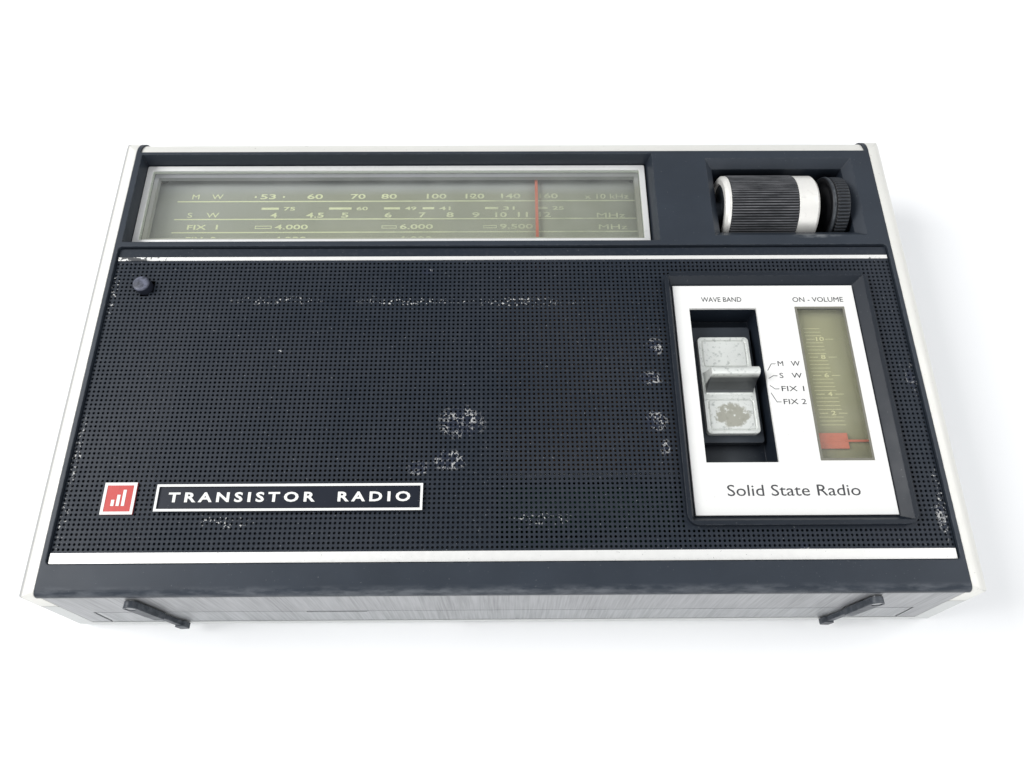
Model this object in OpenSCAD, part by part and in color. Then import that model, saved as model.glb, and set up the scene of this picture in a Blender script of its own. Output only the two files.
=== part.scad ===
// Portable three-band transistor radio, lying on its back with the front upwards.
// X runs across the front, Y runs up the front towards the dial edge, Z runs out of the front.
// Places on the front are given as drops: distances down from the top edge of the black front.

/* [Case] */
// Width over the two side caps
body_w = 242; // [240:1:246]
// Depth from the back face to the front plane
body_d = 32; // [32:0.5:34]
// Width of the black front between the side caps
front_w = 230; // [229:0.5:231]
// Height of the black front
front_h = 134.3; // [134:0.1:136]
// Height of the rounded top cap above the black front
top_rise = 6.5; // [6:0.5:7]
// How much further down the bottom face reaches at the back than at the front
flare = 4.4; // [3:0.2:5]
// Wall thickness of the mouldings
wall = 2; // [1.8:0.1:2.2]
// Height of the joint between the rear case and the front mouldings
split_z = 22; // [21:0.5:23]
// Width of the black rims beside the grille
rim_w = 1.1; // [0.9:0.1:2]
// Width of the black ears that run over the top edge
ear_w = 1; // [0.8:0.1:1.5]
// Height of the black front's top edge on the Y axis
front_top_y = 63.85; // [50:0.05:80]

/* [Dial] */
// Depth of the dial frame below the front plane
dial_depth = 4.25; // [3:0.25:5]
// Width of the dial frame's chrome border
frame_w = 1.7; // [1.2:0.1:2.2]
// Place of the dial pointer across the front
pointer_x = 10.4; // [-70:0.1:17]
// Radius of the tuning capacitor's drum
drum_r = 16; // [12:0.5:16]

/* [Knobs] */
// Drop of the knob axis
knob_v = 17.2; // [17:0.1:17.4]
// Height of the knob axis
knob_z = 24; // [23.5:0.1:24.5]
// Radius of the tuning knob
knob_r = 11; // [10:0.1:11.2]
// Radius of the volume wheel
wheel_r = 10.5; // [9:0.1:10.8]

/* [Controls] */
// Travel of the band selector over its four places
selector_travel = 6.6; // [3:0.1:7]
// Height of the selector's finger ridge above the front plane
ridge_rise = 3; // [1:0.5:4]
// Travel of the volume pointer
volume_travel = 31; // [20:1:31]
// Radius of the dial light button
button_r = 2.4; // [2:0.1:2.5]
// Travel of the dial light button
button_travel = 1.8; // [1:0.1:1.9]

/* [Grille] */
// Thickness of the grille panel
panel_t = 0.8; // [0.6:0.1:1]
// Depth of the panel's surface below the front plane
panel_sink = 0.8; // [0.5:0.1:1]

/* [Feet] */
// Distance of each foot's pivot from the middle
foot_x = 93; // [80:1:96]
// Height of each foot's pivot above the back face
foot_z = 27; // [26:0.5:27]
// Length of each foot from its pivot to its tip
foot_len = 23.5; // [20:0.5:23.5]
// Angle that each foot leans inwards
foot_lean = 11.5; // [0:0.5:20]

/* [Antenna] */
// Place of the antenna's pivot across the top
mast_x = 104; // [100:1:106]
// Length of the antenna when it is folded and pushed together
mast_len = 150; // [120:1:160]

/* [Hidden] */
$fn = 48;

black = "#262a2e";
silver = "#cfd0cc";
chrome_tone = "#e2e2de";
olive = "#8a8d78";
red = "#d8402f";

front_half = front_w / 2;
rim_x = front_half - rim_w;
ear_x = front_half - ear_w;
bar_edge_r = 1.7;
back_edge_r = 3;
face_high_z = body_d - bar_edge_r;
face_low_z = back_edge_r;
face_angle = atan(flare / (face_high_z - face_low_z));
run = 0.05;
gap = 0.3;
cut_clear = 0.5;

// Grille recess and panel
panel_top_z = body_d - panel_sink;
panel_z = panel_top_z - panel_t;
recess_v0 = 34.5;
recess_v1 = 126.5;
ledge_t = 1.8;
recess_r = 1.2;
hole_x = 110;
hole_v0 = 38.5;
hole_v1 = 122.5;

// Dial opening at the front plane, the frame at its floor, and the parts behind it
dial_x0 = -113.2;
dial_x1 = 46.5;
dial_v0 = 0.9;
dial_v1 = 32.9;
frame_x0 = -112.9;
frame_x1 = 44.75;
frame_v0 = 2.05;
frame_v1 = 31;
frame_t = 1.6;
frame_z = body_d - dial_depth - frame_t;
scale_z = 22;
scale_t = 0.8;
pointer_z = 23.7;
rail_r = 0.8;
rail_v = 33.2;
rail_z = 20;

// Tabs of the side caps that reach under the ends of the black front
tab_v = 131.8;
tab_z = 30.2;

// Knob well
well_x0 = 65.5;
well_x1 = 106.4;
well_v0 = 5.3;
well_v1 = 28.8;
well_z = 12;
bevel_d = 2.35;
bevel_w = 2.4;
shaft_r = 3;
pin_r = 1.5;

// Pins of the feet: shank, head and the height of the head's seat in the foot
foot_pin_r = 0.8;
pin_head_r = 1.2;
pin_seat = 1.4;

// Knob stack along the knob axis
ring_x0 = 67.2;
sleeve_x0 = 68.9;
band_x0 = 89.4;
knob_x1 = 95.8;
core_r = knob_r - 1.6;
pulley_x0 = 52;
pulley_x1 = 57.6;
pulley_groove_r = 5;
pulley_rim_r = 5.7;
wheel_x0 = 99.6;
wheel_x1 = 105.3;

// Control group
bezel_x0 = 46.4;
bezel_x1 = 105.3;
bezel_v0 = 44.5;
bezel_v1 = 117.8;
bezel_top = body_d + 1;
plate_x0 = 49;
plate_x1 = 101.2;
plate_v0 = 48;
plate_v1 = 115;
plate_z = 30.2;
plate_t = 0.9;
slot_x0 = 53.2;
slot_x1 = 72.5;
slot_v0 = 55.3;
slot_v1 = 101;
slot_floor = 20.6;
stem_x0 = 61;
stem_x1 = 65;
stem_v0 = 75;
stem_v1 = 79;
window_x0 = 83.6;
window_x1 = 97.8;
window_v0 = 55;
window_v1 = 100.5;
volume_v = 94.5;
volume_rail_x = 101.3;
volume_rail_z = 22.2;
volume_box = [81.6, 104.4, 53, 103.5];

// Dial light button
button_x = -104.2;
button_v = 47.7;
button_seat_z = 25.4;
button_head_z = 29.4;

// Battery bay
bay_x0 = -8;
bay_x1 = 101.5;
bay_v0 = 101.5;
bay_v1 = 132.5;
cell_r = 7.1;
cell_len = 49.5;
cell_z = 10.9;
cell_rows = [109.3, 124.6];
door_x0 = -10;
door_x1 = 103.5;
door_v0 = 98.9;
door_v1 = 137.2;
door_z = 0.4;
door_t = 1.6;

// Circuit board and what it carries
board_z = 13;
board_t = 1.6;
board_posts = [[0, 39], [100, 39], [0, 94], [100, 94], [56, 8]];
cap_x = 34;
cap_w = 20;
drum_z = 15;
drum_t = 2.8;
lamp_places = [[-70, 19], [-10, 19]];

// Ferrite rod
ferrite_r = 5;
ferrite_v = 8.5;
ferrite_z = 9.5;
ferrite_x0 = -105;
ferrite_x1 = 8;
holder_places = [-99, 2];

// Speaker
speaker_x = -46;
speaker_v = 80;
speaker_r = 38;
speaker_z = 28.5;

// Case screws
boss_x = 108.8;
boss_rows = [36.2, 128.5];
boss_r = 3.2;
screw_r = 1.45;

// Earphone jack
jack_v = 70;
jack_z = 8;
jack_r = 1.8;
jack_x0 = 108.5;
jack_x1 = 120.9;

// Antenna
mast_v = -11;
mast_z = 6.5;
mast_r = 2.9;
mast_wall = 0.45;
mast_step = 0.55;
knuckle_r = 2.6;

// ---------------------------------------------------------------- shapes

// Y of a place at drop v
function fy(v) = front_top_y - v;

// Points along an arc about a centre
function arc(cx, cy, r, a0, a1, n = 8) =
    [for (i = [0:n]) let(a = a0 + (a1 - a0) * i / n) [cx + r * cos(a), cy + r * sin(a)]];

// Outline of a rectangle with round corners
function round_rect(x0, x1, y0, y1, r, n = 5) = concat(
    arc(x1 - r, y1 - r, r, 0, 90, n),
    arc(x0 + r, y1 - r, r, 90, 180, n),
    arc(x0 + r, y0 + r, r, 180, 270, n),
    arc(x1 - r, y0 + r, r, 270, 360, n));

// Box between two drops
module slab(x0, x1, v0, v1, z0, z1) {
    translate([x0, fy(v1), z0])
        cube([x1 - x0, v1 - v0, z1 - z0]);
}

// Box on one side, given by its distances from the middle
module side_slab(side, x0, x1, v0, v1, z0, z1) {
    slab(side > 0 ? x0 : -x1, side > 0 ? x1 : -x0, v0, v1, z0, z1);
}

// Box with round corners in plan
module soft_slab(x0, x1, v0, v1, z0, z1, r) {
    translate([0, 0, z0])
        linear_extrude(z1 - z0)
            polygon(round_rect(x0, x1, fy(v1), fy(v0), r));
}

// Cylinders along each axis
module rod_x(r, x0, x1, v, z) {
    translate([x0, fy(v), z])
        rotate([0, 90, 0])
            cylinder(r = r, h = x1 - x0);
}

module rod_y(r, v0, v1, x, z) {
    translate([x, fy(v1), z])
        rotate([-90, 0, 0])
            cylinder(r = r, h = v1 - v0);
}

module rod_z(r, z0, z1, x, v) {
    translate([x, fy(v), z0])
        cylinder(r = r, h = z1 - z0);
}

// Solid that narrows from an upper rectangle [x0, x1, v0, v1] to a lower one
module funnel(upper, lower, z_upper, z_lower) {
    thin = 0.02;
    hull() {
        slab(upper[0], upper[1], upper[2], upper[3], z_upper - thin, z_upper);
        slab(lower[0], lower[1], lower[2], lower[3], z_lower, z_lower + thin);
    }
}

// Round section in a square frame: a profile of [x, r] turned about the knob axis
module knob_turned(profile) {
    translate([0, fy(knob_v), knob_z])
        rotate([0, 90, 0])
            rotate_extrude()
                polygon([for (p = profile) [p[1], p[0]]]);
}

// Grooves along the knob axis, cut all round a cylinder
module flutes(r, x0, x1, count, depth) {
    for (i = [0:count - 1])
        translate([0, fy(knob_v), knob_z])
            rotate([360 * i / count, 0, 0])
                translate([x0, -depth / 2, r - depth])
                    cube([x1 - x0, depth, 2 * depth]);
}

// Round wire wound into an open coil about Z
module coil(r, wire_r, height, turns, sides = 8, steps = 16) {
    count = turns * steps;
    rise = height - 2 * wire_r;
    points = [for (i = [0:count], j = [0:sides - 1])
        let(a = 360 * i / steps, b = 360 * j / sides, q = r + wire_r * cos(b))
        [q * cos(a), q * sin(a), wire_r + rise * i / count + wire_r * sin(b)]];
    sides_faces = [for (i = [0:count - 1], j = [0:sides - 1])
        let(k = (j + 1) % sides)
        [i * sides + j, i * sides + k, (i + 1) * sides + k, (i + 1) * sides + j]];
    start_face = [[for (j = [sides - 1:-1:0]) j]];
    end_face = [[for (j = [0:sides - 1]) count * sides + j]];
    polyhedron(points, concat(sides_faces, start_face, end_face));
}

// Side view of the case, as [y, z]
function side_profile(inset) =
    let(top_y = fy(-top_rise) - inset,
        front_r = top_rise - inset,
        back_r = max(back_edge_r - inset, 0.5),
        bar_r = max(bar_edge_r - inset, 0.4))
    concat(
        arc(fy(front_h + flare) + inset + back_r, inset + back_r, back_r, 180, 270, 5),
        arc(top_y - back_r, inset + back_r, back_r, 270, 360, 5),
        arc(top_y - front_r, body_d - inset - front_r, front_r, 0, 90, 10),
        arc(fy(front_h) + inset + bar_r, body_d - inset - bar_r, bar_r, 90, 180, 5));

// End view of the case, as [x, z]
function end_profile(inset) =
    let(half = body_w / 2 - inset,
        front_r = body_w / 2 - front_half - 0.2 - inset,
        back_r = max(back_edge_r - inset, 0.5))
    concat(
        arc(half - front_r, body_d - inset - front_r, front_r, 0, 90, 10),
        arc(front_r - half, body_d - inset - front_r, front_r, 90, 180, 10),
        arc(back_r - half, inset + back_r, back_r, 180, 270, 5),
        arc(half - back_r, inset + back_r, back_r, 270, 360, 5));

// Whole outer form of the case, shrunk by inset on every side
module body_block(inset = 0) {
    half = body_w / 2 - inset;
    top_corner = 7 - inset;
    low_corner = max(4 - inset, 1);
    far = 300;
    clear = 0.3;
    intersection() {
        linear_extrude(body_d)
            polygon(concat([[-half, -far], [half, -far]],
                arc(half - top_corner, fy(-top_rise) - inset - top_corner, top_corner, 0, 90),
                arc(top_corner - half, fy(-top_rise) - inset - top_corner, top_corner, 90, 180)));
        translate([-far, 0, 0])
            rotate([90, 0, 90])
                linear_extrude(2 * far)
                    polygon(side_profile(inset));
        translate([0, far, 0])
            rotate([90, 0, 0])
                linear_extrude(2 * far)
                    polygon(end_profile(inset));
        translate([0, fy(front_h + flare), face_low_z])
            rotate([-face_angle, 0, 0])
                translate([0, 0, -body_d])
                    linear_extrude(3 * body_d)
                        polygon(round_rect(-half, half, inset - clear, far, low_corner));
    }
}

// Shell of the case between two insets
module body_shell(outer, inner) {
    difference() {
        body_block(outer);
        body_block(inner);
    }
}

// Room of the bottom plate, which lies flush in the bottom face; a cutter starts outside the face
module plate_room(x, z0, z1, outer = 0) {
    intersection() {
        body_shell(outer, 0.8);
        slab(-x, x, 130, 150, z0, z1);
    }
}

// Frame of a foot's pivot: local Z points out of the bottom face, local Y points forwards
module on_bottom(side) {
    pivot_v = front_h + flare * (face_high_z - foot_z) / (face_high_z - face_low_z);
    translate([side * foot_x, fy(pivot_v), foot_z])
        rotate([90 - face_angle, 0, 0])
            children();
}

// ---------------------------------------------------------------- case

module dial_funnel() {
    funnel([dial_x0, dial_x1, dial_v0, dial_v1],
        [frame_x0 - 0.05, frame_x1 + 0.15, frame_v0 - 0.05, frame_v1 + 0.05],
        body_d + 0.01, frame_z);
}

module knob_funnel() {
    funnel([well_x0 - bevel_w, well_x1 + bevel_w, well_v0 - bevel_w, well_v1 + bevel_w],
        [well_x0, well_x1, well_v0, well_v1],
        body_d + 0.01, body_d - bevel_d);
}

module cabinet_front() {
    front_skin = 31;
    box_t = 1.6;
    baffle = [-90, -2, 37, 124];
    color(black)
    difference() {
        union() {
            intersection() {
                body_shell(0, wall);
                slab(-front_half, front_half, 0, 150, split_z, body_d);
            }
            for (side = [-1, 1])
                intersection() {
                    body_block();
                    union() {
                        side_slab(side, rim_x, front_half, 0, 150, split_z, body_d);
                        side_slab(side, ear_x, front_half, -10, 1, split_z, body_d);
                    }
                }
            slab(-rim_x, dial_x1 + box_t, 0.2, dial_v1 + 1.2, frame_z - box_t, front_skin);
            slab(well_x0 - box_t, well_x1 + box_t, well_v0 - box_t, well_v1 + box_t,
                well_z - box_t, front_skin);
            slab(-rim_x, rim_x, recess_v0 - 0.6, recess_v1 + 0.6, panel_z - ledge_t, front_skin);
            for (side = [-1, 1], v = boss_rows)
                rod_z(boss_r, 14, panel_z - 0.2, side * boss_x, v);
            for (side = [-1, 1])
                on_bottom(side)
                    translate([0, 0, -7])
                        cylinder(r = 2.6, h = 6);
            slab(58.8, 60.6, knob_v - 4.5, knob_v + 4.5, knob_z - 5, front_skin);
            slab(-rim_x, -99.6, button_v - 4.2, button_v + 4.2, button_seat_z - 1.4, button_seat_z);
            slab(-rim_x, -hole_x - 0.8, button_v - 4.2, button_v + 4.2, button_seat_z - 1.4, front_skin);
            for (x = [-88, 28])
                slab(x - 2, x + 2, rail_v - 1.8, rail_v + 1.8, rail_z - 1.6, frame_z);
            for (x = [-109.5, 41.5], v = [4.2, 29.8])
                rod_z(1, scale_z + scale_t, frame_z - 1, x, v);
        }
        dial_funnel();
        slab(frame_x0 + 3.1, frame_x1 - 3.1, frame_v0 + 3.1, frame_v1 - 3.1, split_z, body_d);
        knob_funnel();
        slab(well_x0, well_x1, well_v0, well_v1, well_z, body_d);
        rod_x(shaft_r + run, 58, well_x0 + 1, knob_v, knob_z);
        rod_x(pin_r + run, well_x1 - 1, well_x1 + 3, knob_v, knob_z);
        soft_slab(-rim_x, rim_x, recess_v0, recess_v1, panel_z, body_d + 1, recess_r);
        difference() {
            slab(-hole_x, hole_x, hole_v0, hole_v1, split_z, body_d);
            slab(baffle[0], baffle[1], baffle[2], baffle[3], split_z, body_d);
            slab(-rim_x, -99.6, button_v - 4.2, button_v + 4.2, split_z, button_seat_z);
            for (side = [-1, 1], v = boss_rows)
                rod_z(boss_r, 14, panel_z - 0.2, side * boss_x, v);
        }
        rod_z(speaker_r - 3.5, split_z, body_d, speaker_x, speaker_v);
        rod_z(1.4 + run * 4, split_z, body_d - 3, button_x, button_v);
        for (side = [-1, 1], v = boss_rows)
            rod_z(screw_r + run, 13, 29, side * boss_x, v);
        for (side = [-1, 1])
            on_bottom(side)
                translate([0, 0, -6.8])
                    cylinder(r = foot_pin_r + 0.02, h = 8);
        rod_x(rail_r + run, -89, 29, rail_v, rail_z);
        plate_room(rim_x, 5, 30.2, -cut_clear);
        for (side = [-1, 1])
            side_slab(side, rim_x, front_half + 1, tab_v, 150, split_z - 1, tab_z + 0.05);
    }
}

module top_cap() {
    color(silver)
    intersection() {
        body_shell(0.5, wall);
        slab(0.1 - ear_x, ear_x - 0.1, -10, -0.05, split_z + 0.1, body_d);
    }
}

module side_cap(side) {
    low_z = split_z + 0.15;
    color(silver)
    intersection() {
        body_shell(0, wall);
        union() {
            side_slab(side, front_half + 0.05, body_w, -10, 150, low_z, body_d);
            side_slab(side, rim_x + 0.05, front_half + 1, tab_v + 0.1, 150, low_z, tab_z);
        }
    }
}

module side_cap_left() {
    side_cap(-1);
}

module side_cap_right() {
    side_cap(1);
}

module rear_case() {
    floor_t = 4.2;
    boss_top = 13.6;
    rib = 1.5;
    rib_z = 17;
    color("#c3c4c1")
    difference() {
        union() {
            intersection() {
                body_shell(0, wall);
                slab(-150, 150, -10, 150, 0, split_z);
            }
            slab(door_x0 - 3.2, door_x1 + 3.2, door_v0 - 2.6, door_v1 - 1.4, 1, floor_t);
            for (side = [-1, 1], v = boss_rows)
                rod_z(boss_r + 0.3, 1, boss_top, side * boss_x, v);
            for (p = board_posts) {
                rod_z(2.4, 1, board_z - 0.05, p[0], p[1]);
                rod_z(1.3, 1, board_z + board_t + 1, p[0], p[1]);
            }
            for (p = lamp_places)
                rod_z(2.6, 1, 15, p[0], p[1]);
            slab(bay_x0 - rib, bay_x0, bay_v0 - rib, bay_v1 + rib, 1, rib_z);
            slab(bay_x1, bay_x1 + rib, bay_v0 - rib, bay_v1 - 8, 1, rib_z);
            slab(bay_x0, bay_x1, bay_v0 - rib, bay_v0, 1, rib_z);
            intersection() {
                slab(mast_x - 5, mast_x + 5, -7, 1.5, 1, 12);
                body_block();
            }
        }
        plate_room(rim_x, 5, 30.2, -cut_clear);
        slab(door_x0 - 0.4, door_x1 + 0.4, door_v0 - 0.4, 150, -1, 2.3);
        slab(door_x0 - 1.6, door_x1 + 1.6, door_v0 - 0.4, 150, 0.8, 2.05);
        slab(bay_x0 + 1, bay_x1 - 1, bay_v0 + 1, bay_v1 - 1, -1, floor_t + 1);
        for (side = [-1, 1], v = boss_rows) {
            rod_z(screw_r + 0.25, -1, boss_top + 1, side * boss_x, v);
            rod_z(3.1, -1, 2.7, side * boss_x, v);
        }
        rod_y(2.25, -8, 1, mast_x, mast_z);
        rod_x(3, 118, 122, jack_v, jack_z);
        for (x = [-76:5:-16])
            soft_slab(x - 0.9, x + 0.9, 62, 98, -1, 3, 0.8);
    }
}

module bottom_plate() {
    color("#b9bab8")
    difference() {
        plate_room(rim_x - 0.2, 5.5, 30.1);
        slab(-108.4, 108.4, 120, 150, 0, 16);
        for (side = [-1, 1])
            on_bottom(side)
                cylinder(r = foot_pin_r + 0.1, h = 6, center = true);
    }
}

module service_cover() {
    latch_x = -44.4;
    latch_w = 16;
    color("#b4b5b3")
    difference() {
        plate_room(107.7, 5.5, 15.6);
        slab(latch_x - latch_w / 2, latch_x + latch_w / 2, 120, 150, 14.7, 16);
    }
}

module battery_door() {
    color("#bcbdba")
    difference() {
        union() {
            soft_slab(door_x0, door_x1, door_v0, door_v1, door_z, door_z + door_t, 1);
            slab(door_x0 - 1.2, door_x1 + 1.2, door_v0 + 2, door_v1 - 3, 1, 1.8);
        }
        for (i = [0:6])
            slab(36.7, 56.7, door_v0 + 5 + 2 * i, door_v0 + 6 + 2 * i, 0, door_z + 0.6);
    }
}

// ---------------------------------------------------------------- front panel

module grille_panel() {
    color(black)
    difference() {
        soft_slab(0.3 - rim_x, rim_x - 0.3, recess_v0 + 0.5, recess_v1 - 0.1, panel_z, panel_top_z,
            recess_r - 0.2);
        soft_slab(bezel_x0 + 0.4, bezel_x1 - 0.4, bezel_v0 + 0.4, bezel_v1 - 0.4, panel_z - 1, body_d, 2.6);
        rod_z(button_r + gap, panel_z - 1, body_d, button_x, button_v);
    }
}

module panel_stripes() {
    stripe_t = 0.25;
    color(chrome_tone) {
        slab(0.5 - rim_x, rim_x - 0.5, 37.9, 39.05, panel_top_z, panel_top_z + stripe_t);
        slab(0.5 - rim_x, rim_x - 0.5, 123.6, 126.2, panel_top_z, panel_top_z + stripe_t);
    }
}

module badge() {
    color(red)
    slab(-103.2, -94.9, 105.7, 114, panel_top_z, panel_top_z + 0.4);
}

module nameplate() {
    rim = 0.7;
    x0 = -89.4;
    x1 = -21;
    color(black)
    difference() {
        soft_slab(x0, x1, 106.4, 113.4, panel_top_z, panel_top_z + 1, 0.6);
        soft_slab(x0 + rim, x1 - rim, 106.4 + rim, 113.4 - rim, panel_top_z + 0.7, body_d + 1, 0.3);
    }
}

// ---------------------------------------------------------------- dial

module dial_frame() {
    color(chrome_tone)
    difference() {
        soft_slab(frame_x0, frame_x1, frame_v0, frame_v1, frame_z, frame_z + frame_t, 0.5);
        soft_slab(frame_x0 + frame_w, frame_x1 - frame_w, frame_v0 + frame_w, frame_v1 - frame_w,
            frame_z - 1, body_d, 0.3);
    }
}

module dial_lens() {
    edge = frame_w + 0.05;
    color("#b9c2ba", 0.35)
    soft_slab(frame_x0 + edge, frame_x1 - edge, frame_v0 + edge, frame_v1 - edge,
        frame_z, frame_z + 1.2, 0.3);
}

module dial_scale() {
    color(olive)
    slab(-111, 43, 3, 31, scale_z, scale_z + scale_t);
}

module dial_pointer() {
    carriage_w = 8;
    color(red)
    difference() {
        union() {
            slab(pointer_x - 0.45, pointer_x + 0.45, 3.2, 32.4, pointer_z, pointer_z + 0.6);
            slab(pointer_x - 0.45, pointer_x + 0.45, 31.5, 33.9, rail_z, pointer_z + 0.6);
            slab(pointer_x - carriage_w / 2, pointer_x + carriage_w / 2, rail_v - 1.5, rail_v + 1.5,
                rail_z - 1.6, rail_z + 1.6);
        }
        rod_x(rail_r + run, pointer_x - 10, pointer_x + 10, rail_v, rail_z);
    }
}

module guide_rails() {
    color("#a9abad") {
        rod_x(rail_r, -89, 29, rail_v, rail_z);
        rod_y(rail_r, volume_box[2] + 0.2, volume_box[3] - 0.2, volume_rail_x, volume_rail_z);
    }
}

module dial_lamps() {
    color("#e8e2c8")
    for (p = lamp_places) {
        rod_z(2, 15, 17.2, p[0], p[1]);
        rod_z(1.5, 17.2, 19.6, p[0], p[1]);
        translate([p[0], fy(p[1]), 19.6])
            sphere(r = 1.5);
    }
}

// ---------------------------------------------------------------- knobs

module tuning_shaft() {
    color("#33363a")
    knob_turned([[50.6, 0], [50.6, shaft_r], [ring_x0 + 1, shaft_r], [ring_x0 + 1, core_r],
        [knob_x1 - 0.8, core_r], [knob_x1 - 0.8, 0]]);
}

module cord_pulley() {
    groove = 1.3;
    color("#c8b078")
    knob_turned([[pulley_x0, shaft_r], [pulley_x0, pulley_rim_r], [pulley_x0 + groove, pulley_rim_r],
        [pulley_x0 + groove, pulley_groove_r], [pulley_x1 - groove, pulley_groove_r],
        [pulley_x1 - groove, pulley_rim_r], [pulley_x1, pulley_rim_r], [pulley_x1, shaft_r]]);
}

module knob_sleeve() {
    color("#1d1f21")
    difference() {
        knob_turned([[sleeve_x0, core_r], [sleeve_x0, knob_r - 0.3], [sleeve_x0 + 0.4, knob_r],
            [band_x0 - 0.4, knob_r], [band_x0, knob_r - 0.3], [band_x0, core_r]]);
        flutes(knob_r, sleeve_x0 - 1, band_x0 + 1, 48, 0.6);
    }
}

module knob_band() {
    color(chrome_tone)
    knob_turned([[band_x0, core_r], [band_x0, knob_r - 0.2], [knob_x1 - 0.8, knob_r - 0.2],
        [knob_x1, knob_r - 0.9], [knob_x1, core_r - 1], [knob_x1 - 0.8, core_r - 1],
        [knob_x1 - 0.8, core_r]]);
}

module knob_ring() {
    color(chrome_tone)
    knob_turned([[ring_x0, core_r - 1], [ring_x0, knob_r - 1], [ring_x0 + 0.8, knob_r - 0.2],
        [sleeve_x0, knob_r - 0.2], [sleeve_x0, core_r], [ring_x0 + 1, core_r],
        [ring_x0 + 1, core_r - 1]]);
}

module volume_wheel() {
    color("#2a2d30")
    difference() {
        knob_turned([[wheel_x0, 0], [wheel_x0, wheel_r - 2.4], [wheel_x0 + 0.8, wheel_r - 2],
            [wheel_x0, wheel_r - 1.6], [wheel_x0, wheel_r - 0.5], [wheel_x0 + 0.5, wheel_r],
            [wheel_x1 - 0.7, wheel_r], [wheel_x1, wheel_r - 0.7], [wheel_x1, pin_r],
            [112, pin_r], [112, 0]]);
        flutes(wheel_r, wheel_x0 + 0.9, wheel_x1 - 0.9, 48, 0.55);
    }
}

module volume_control() {
    color("#8f9295")
    difference() {
        slab(108.3, rim_x - 0.2, knob_v - 7.3, knob_v + 7.3, knob_z - 5.8, 29.6);
        rod_x(pin_r + run, 108, 112.4, knob_v, knob_z);
    }
}

// ---------------------------------------------------------------- controls

module control_bezel() {
    deck = 1.2;
    lip = 1.2;
    color("#2b2f33")
    difference() {
        union() {
            soft_slab(bezel_x0, bezel_x1, bezel_v0, bezel_v1, panel_top_z + 0.05, bezel_top, 3);
            soft_slab(bezel_x0 + 0.8, bezel_x1 - 0.8, bezel_v0 + 0.8, bezel_v1 - 0.8,
                plate_z - deck, panel_top_z + 0.5, 2.4);
            slab(slot_x0 - 1.2, slot_x1 + 1.2, slot_v0 - 1.2, slot_v1 + 1.2, slot_floor, plate_z);
            slab(volume_box[0], volume_box[1], volume_box[2], volume_box[3], slot_floor, plate_z);
        }
        funnel([bezel_x0 + lip, bezel_x1 - lip, bezel_v0 + lip, bezel_v1 - lip],
            [plate_x0 - 0.1, plate_x1 + 0.1, plate_v0 - 0.1, plate_v1 + 0.1],
            bezel_top + 0.01, plate_z);
        slab(slot_x0, slot_x1, slot_v0, slot_v1, slot_floor + 1.4, body_d + 2);
        slab(stem_x0 - 0.5, stem_x1 + 0.5, stem_v0 - 0.6, stem_v1 + selector_travel + 0.6, 20, 24);
        slab(volume_box[0] + 1, volume_box[1] - 1, volume_box[2] + 1.2, volume_box[3] - 1.2,
            slot_floor - 1, plate_z - deck);
        slab(window_x0 - 0.4, window_x1 + 0.6, window_v0 - 0.6, window_v1 + 0.6, 25, body_d + 2);
        rod_y(rail_r + run, volume_box[2] + 0.1, volume_box[3] - 0.1, volume_rail_x, volume_rail_z);
    }
}

module control_plate() {
    color("#eceae4")
    difference() {
        slab(plate_x0, plate_x1, plate_v0, plate_v1, plate_z, plate_z + plate_t);
        slab(slot_x0, slot_x1, slot_v0, slot_v1, plate_z - 1, body_d);
        slab(window_x0 - 0.1, window_x1 + 0.1, window_v0 - 0.1, window_v1 + 0.1, plate_z - 1, body_d);
    }
}

// Finger slide: a flat tile with a tall ridge across it
module selector_slide() {
    tile_z = 25.2;
    tile_t = 1.8;
    top = body_d + ridge_rise;
    ridge = concat(
        [[fy(81), tile_z + 1], [fy(72.8), tile_z + 1], [fy(73.6), tile_z + tile_t],
        [fy(74.6), top - 4], [fy(74.9), top - 0.7]],
        arc(fy(76.1), top - 1.1, 1.1, 30, 150, 6),
        [[fy(77.4), top - 1.6], [fy(78), top - 4], [fy(79.2), tile_z + tile_t + 1]]);
    color(chrome_tone)
    difference() {
        union() {
            soft_slab(55.7, 70.3, 62.6, 91.7, tile_z, tile_z + tile_t, 1.2);
            translate([56.4, 0, 0])
                rotate([90, 0, 90])
                    linear_extrude(13.2)
                        polygon(ridge);
        }
        for (part = [[63.5, 72], [81.6, 90.8]])
            difference() {
                soft_slab(56.6, 69.4, part[0], part[1], tile_z + tile_t - 0.25, body_d, 0.8);
                soft_slab(57, 69, part[0] + 0.4, part[1] - 0.4, tile_z, body_d + 1, 0.6);
            }
    }
}

module selector_shutter() {
    color("#232629") {
        soft_slab(slot_x0 + 1.2, slot_x1 - 0.9, 58.6, 93.8, 22.3, 25.2, 0.8);
        slab(stem_x0, stem_x1, stem_v0, stem_v1, 17.6, 23);
    }
}

module band_switch() {
    color("#9c7b4a")
    difference() {
        slab(57, 69, 66, 96, board_z + board_t, 19.8);
        slab(stem_x0 - 0.5, stem_x1 + 0.5, stem_v0 - 0.6, stem_v1 + selector_travel + 0.6, 17, 21);
    }
}

module volume_lens() {
    color("#b9c2ba", 0.35)
    slab(window_x0, window_x1, window_v0, window_v1, plate_z - 0.4, plate_z + plate_t - 0.05);
}

module volume_scale() {
    color(olive)
    slab(volume_box[0] + 1.1, 100.5, volume_box[2] + 1.3, volume_box[3] - 1.3, 27.4, 28.1);
}

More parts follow.
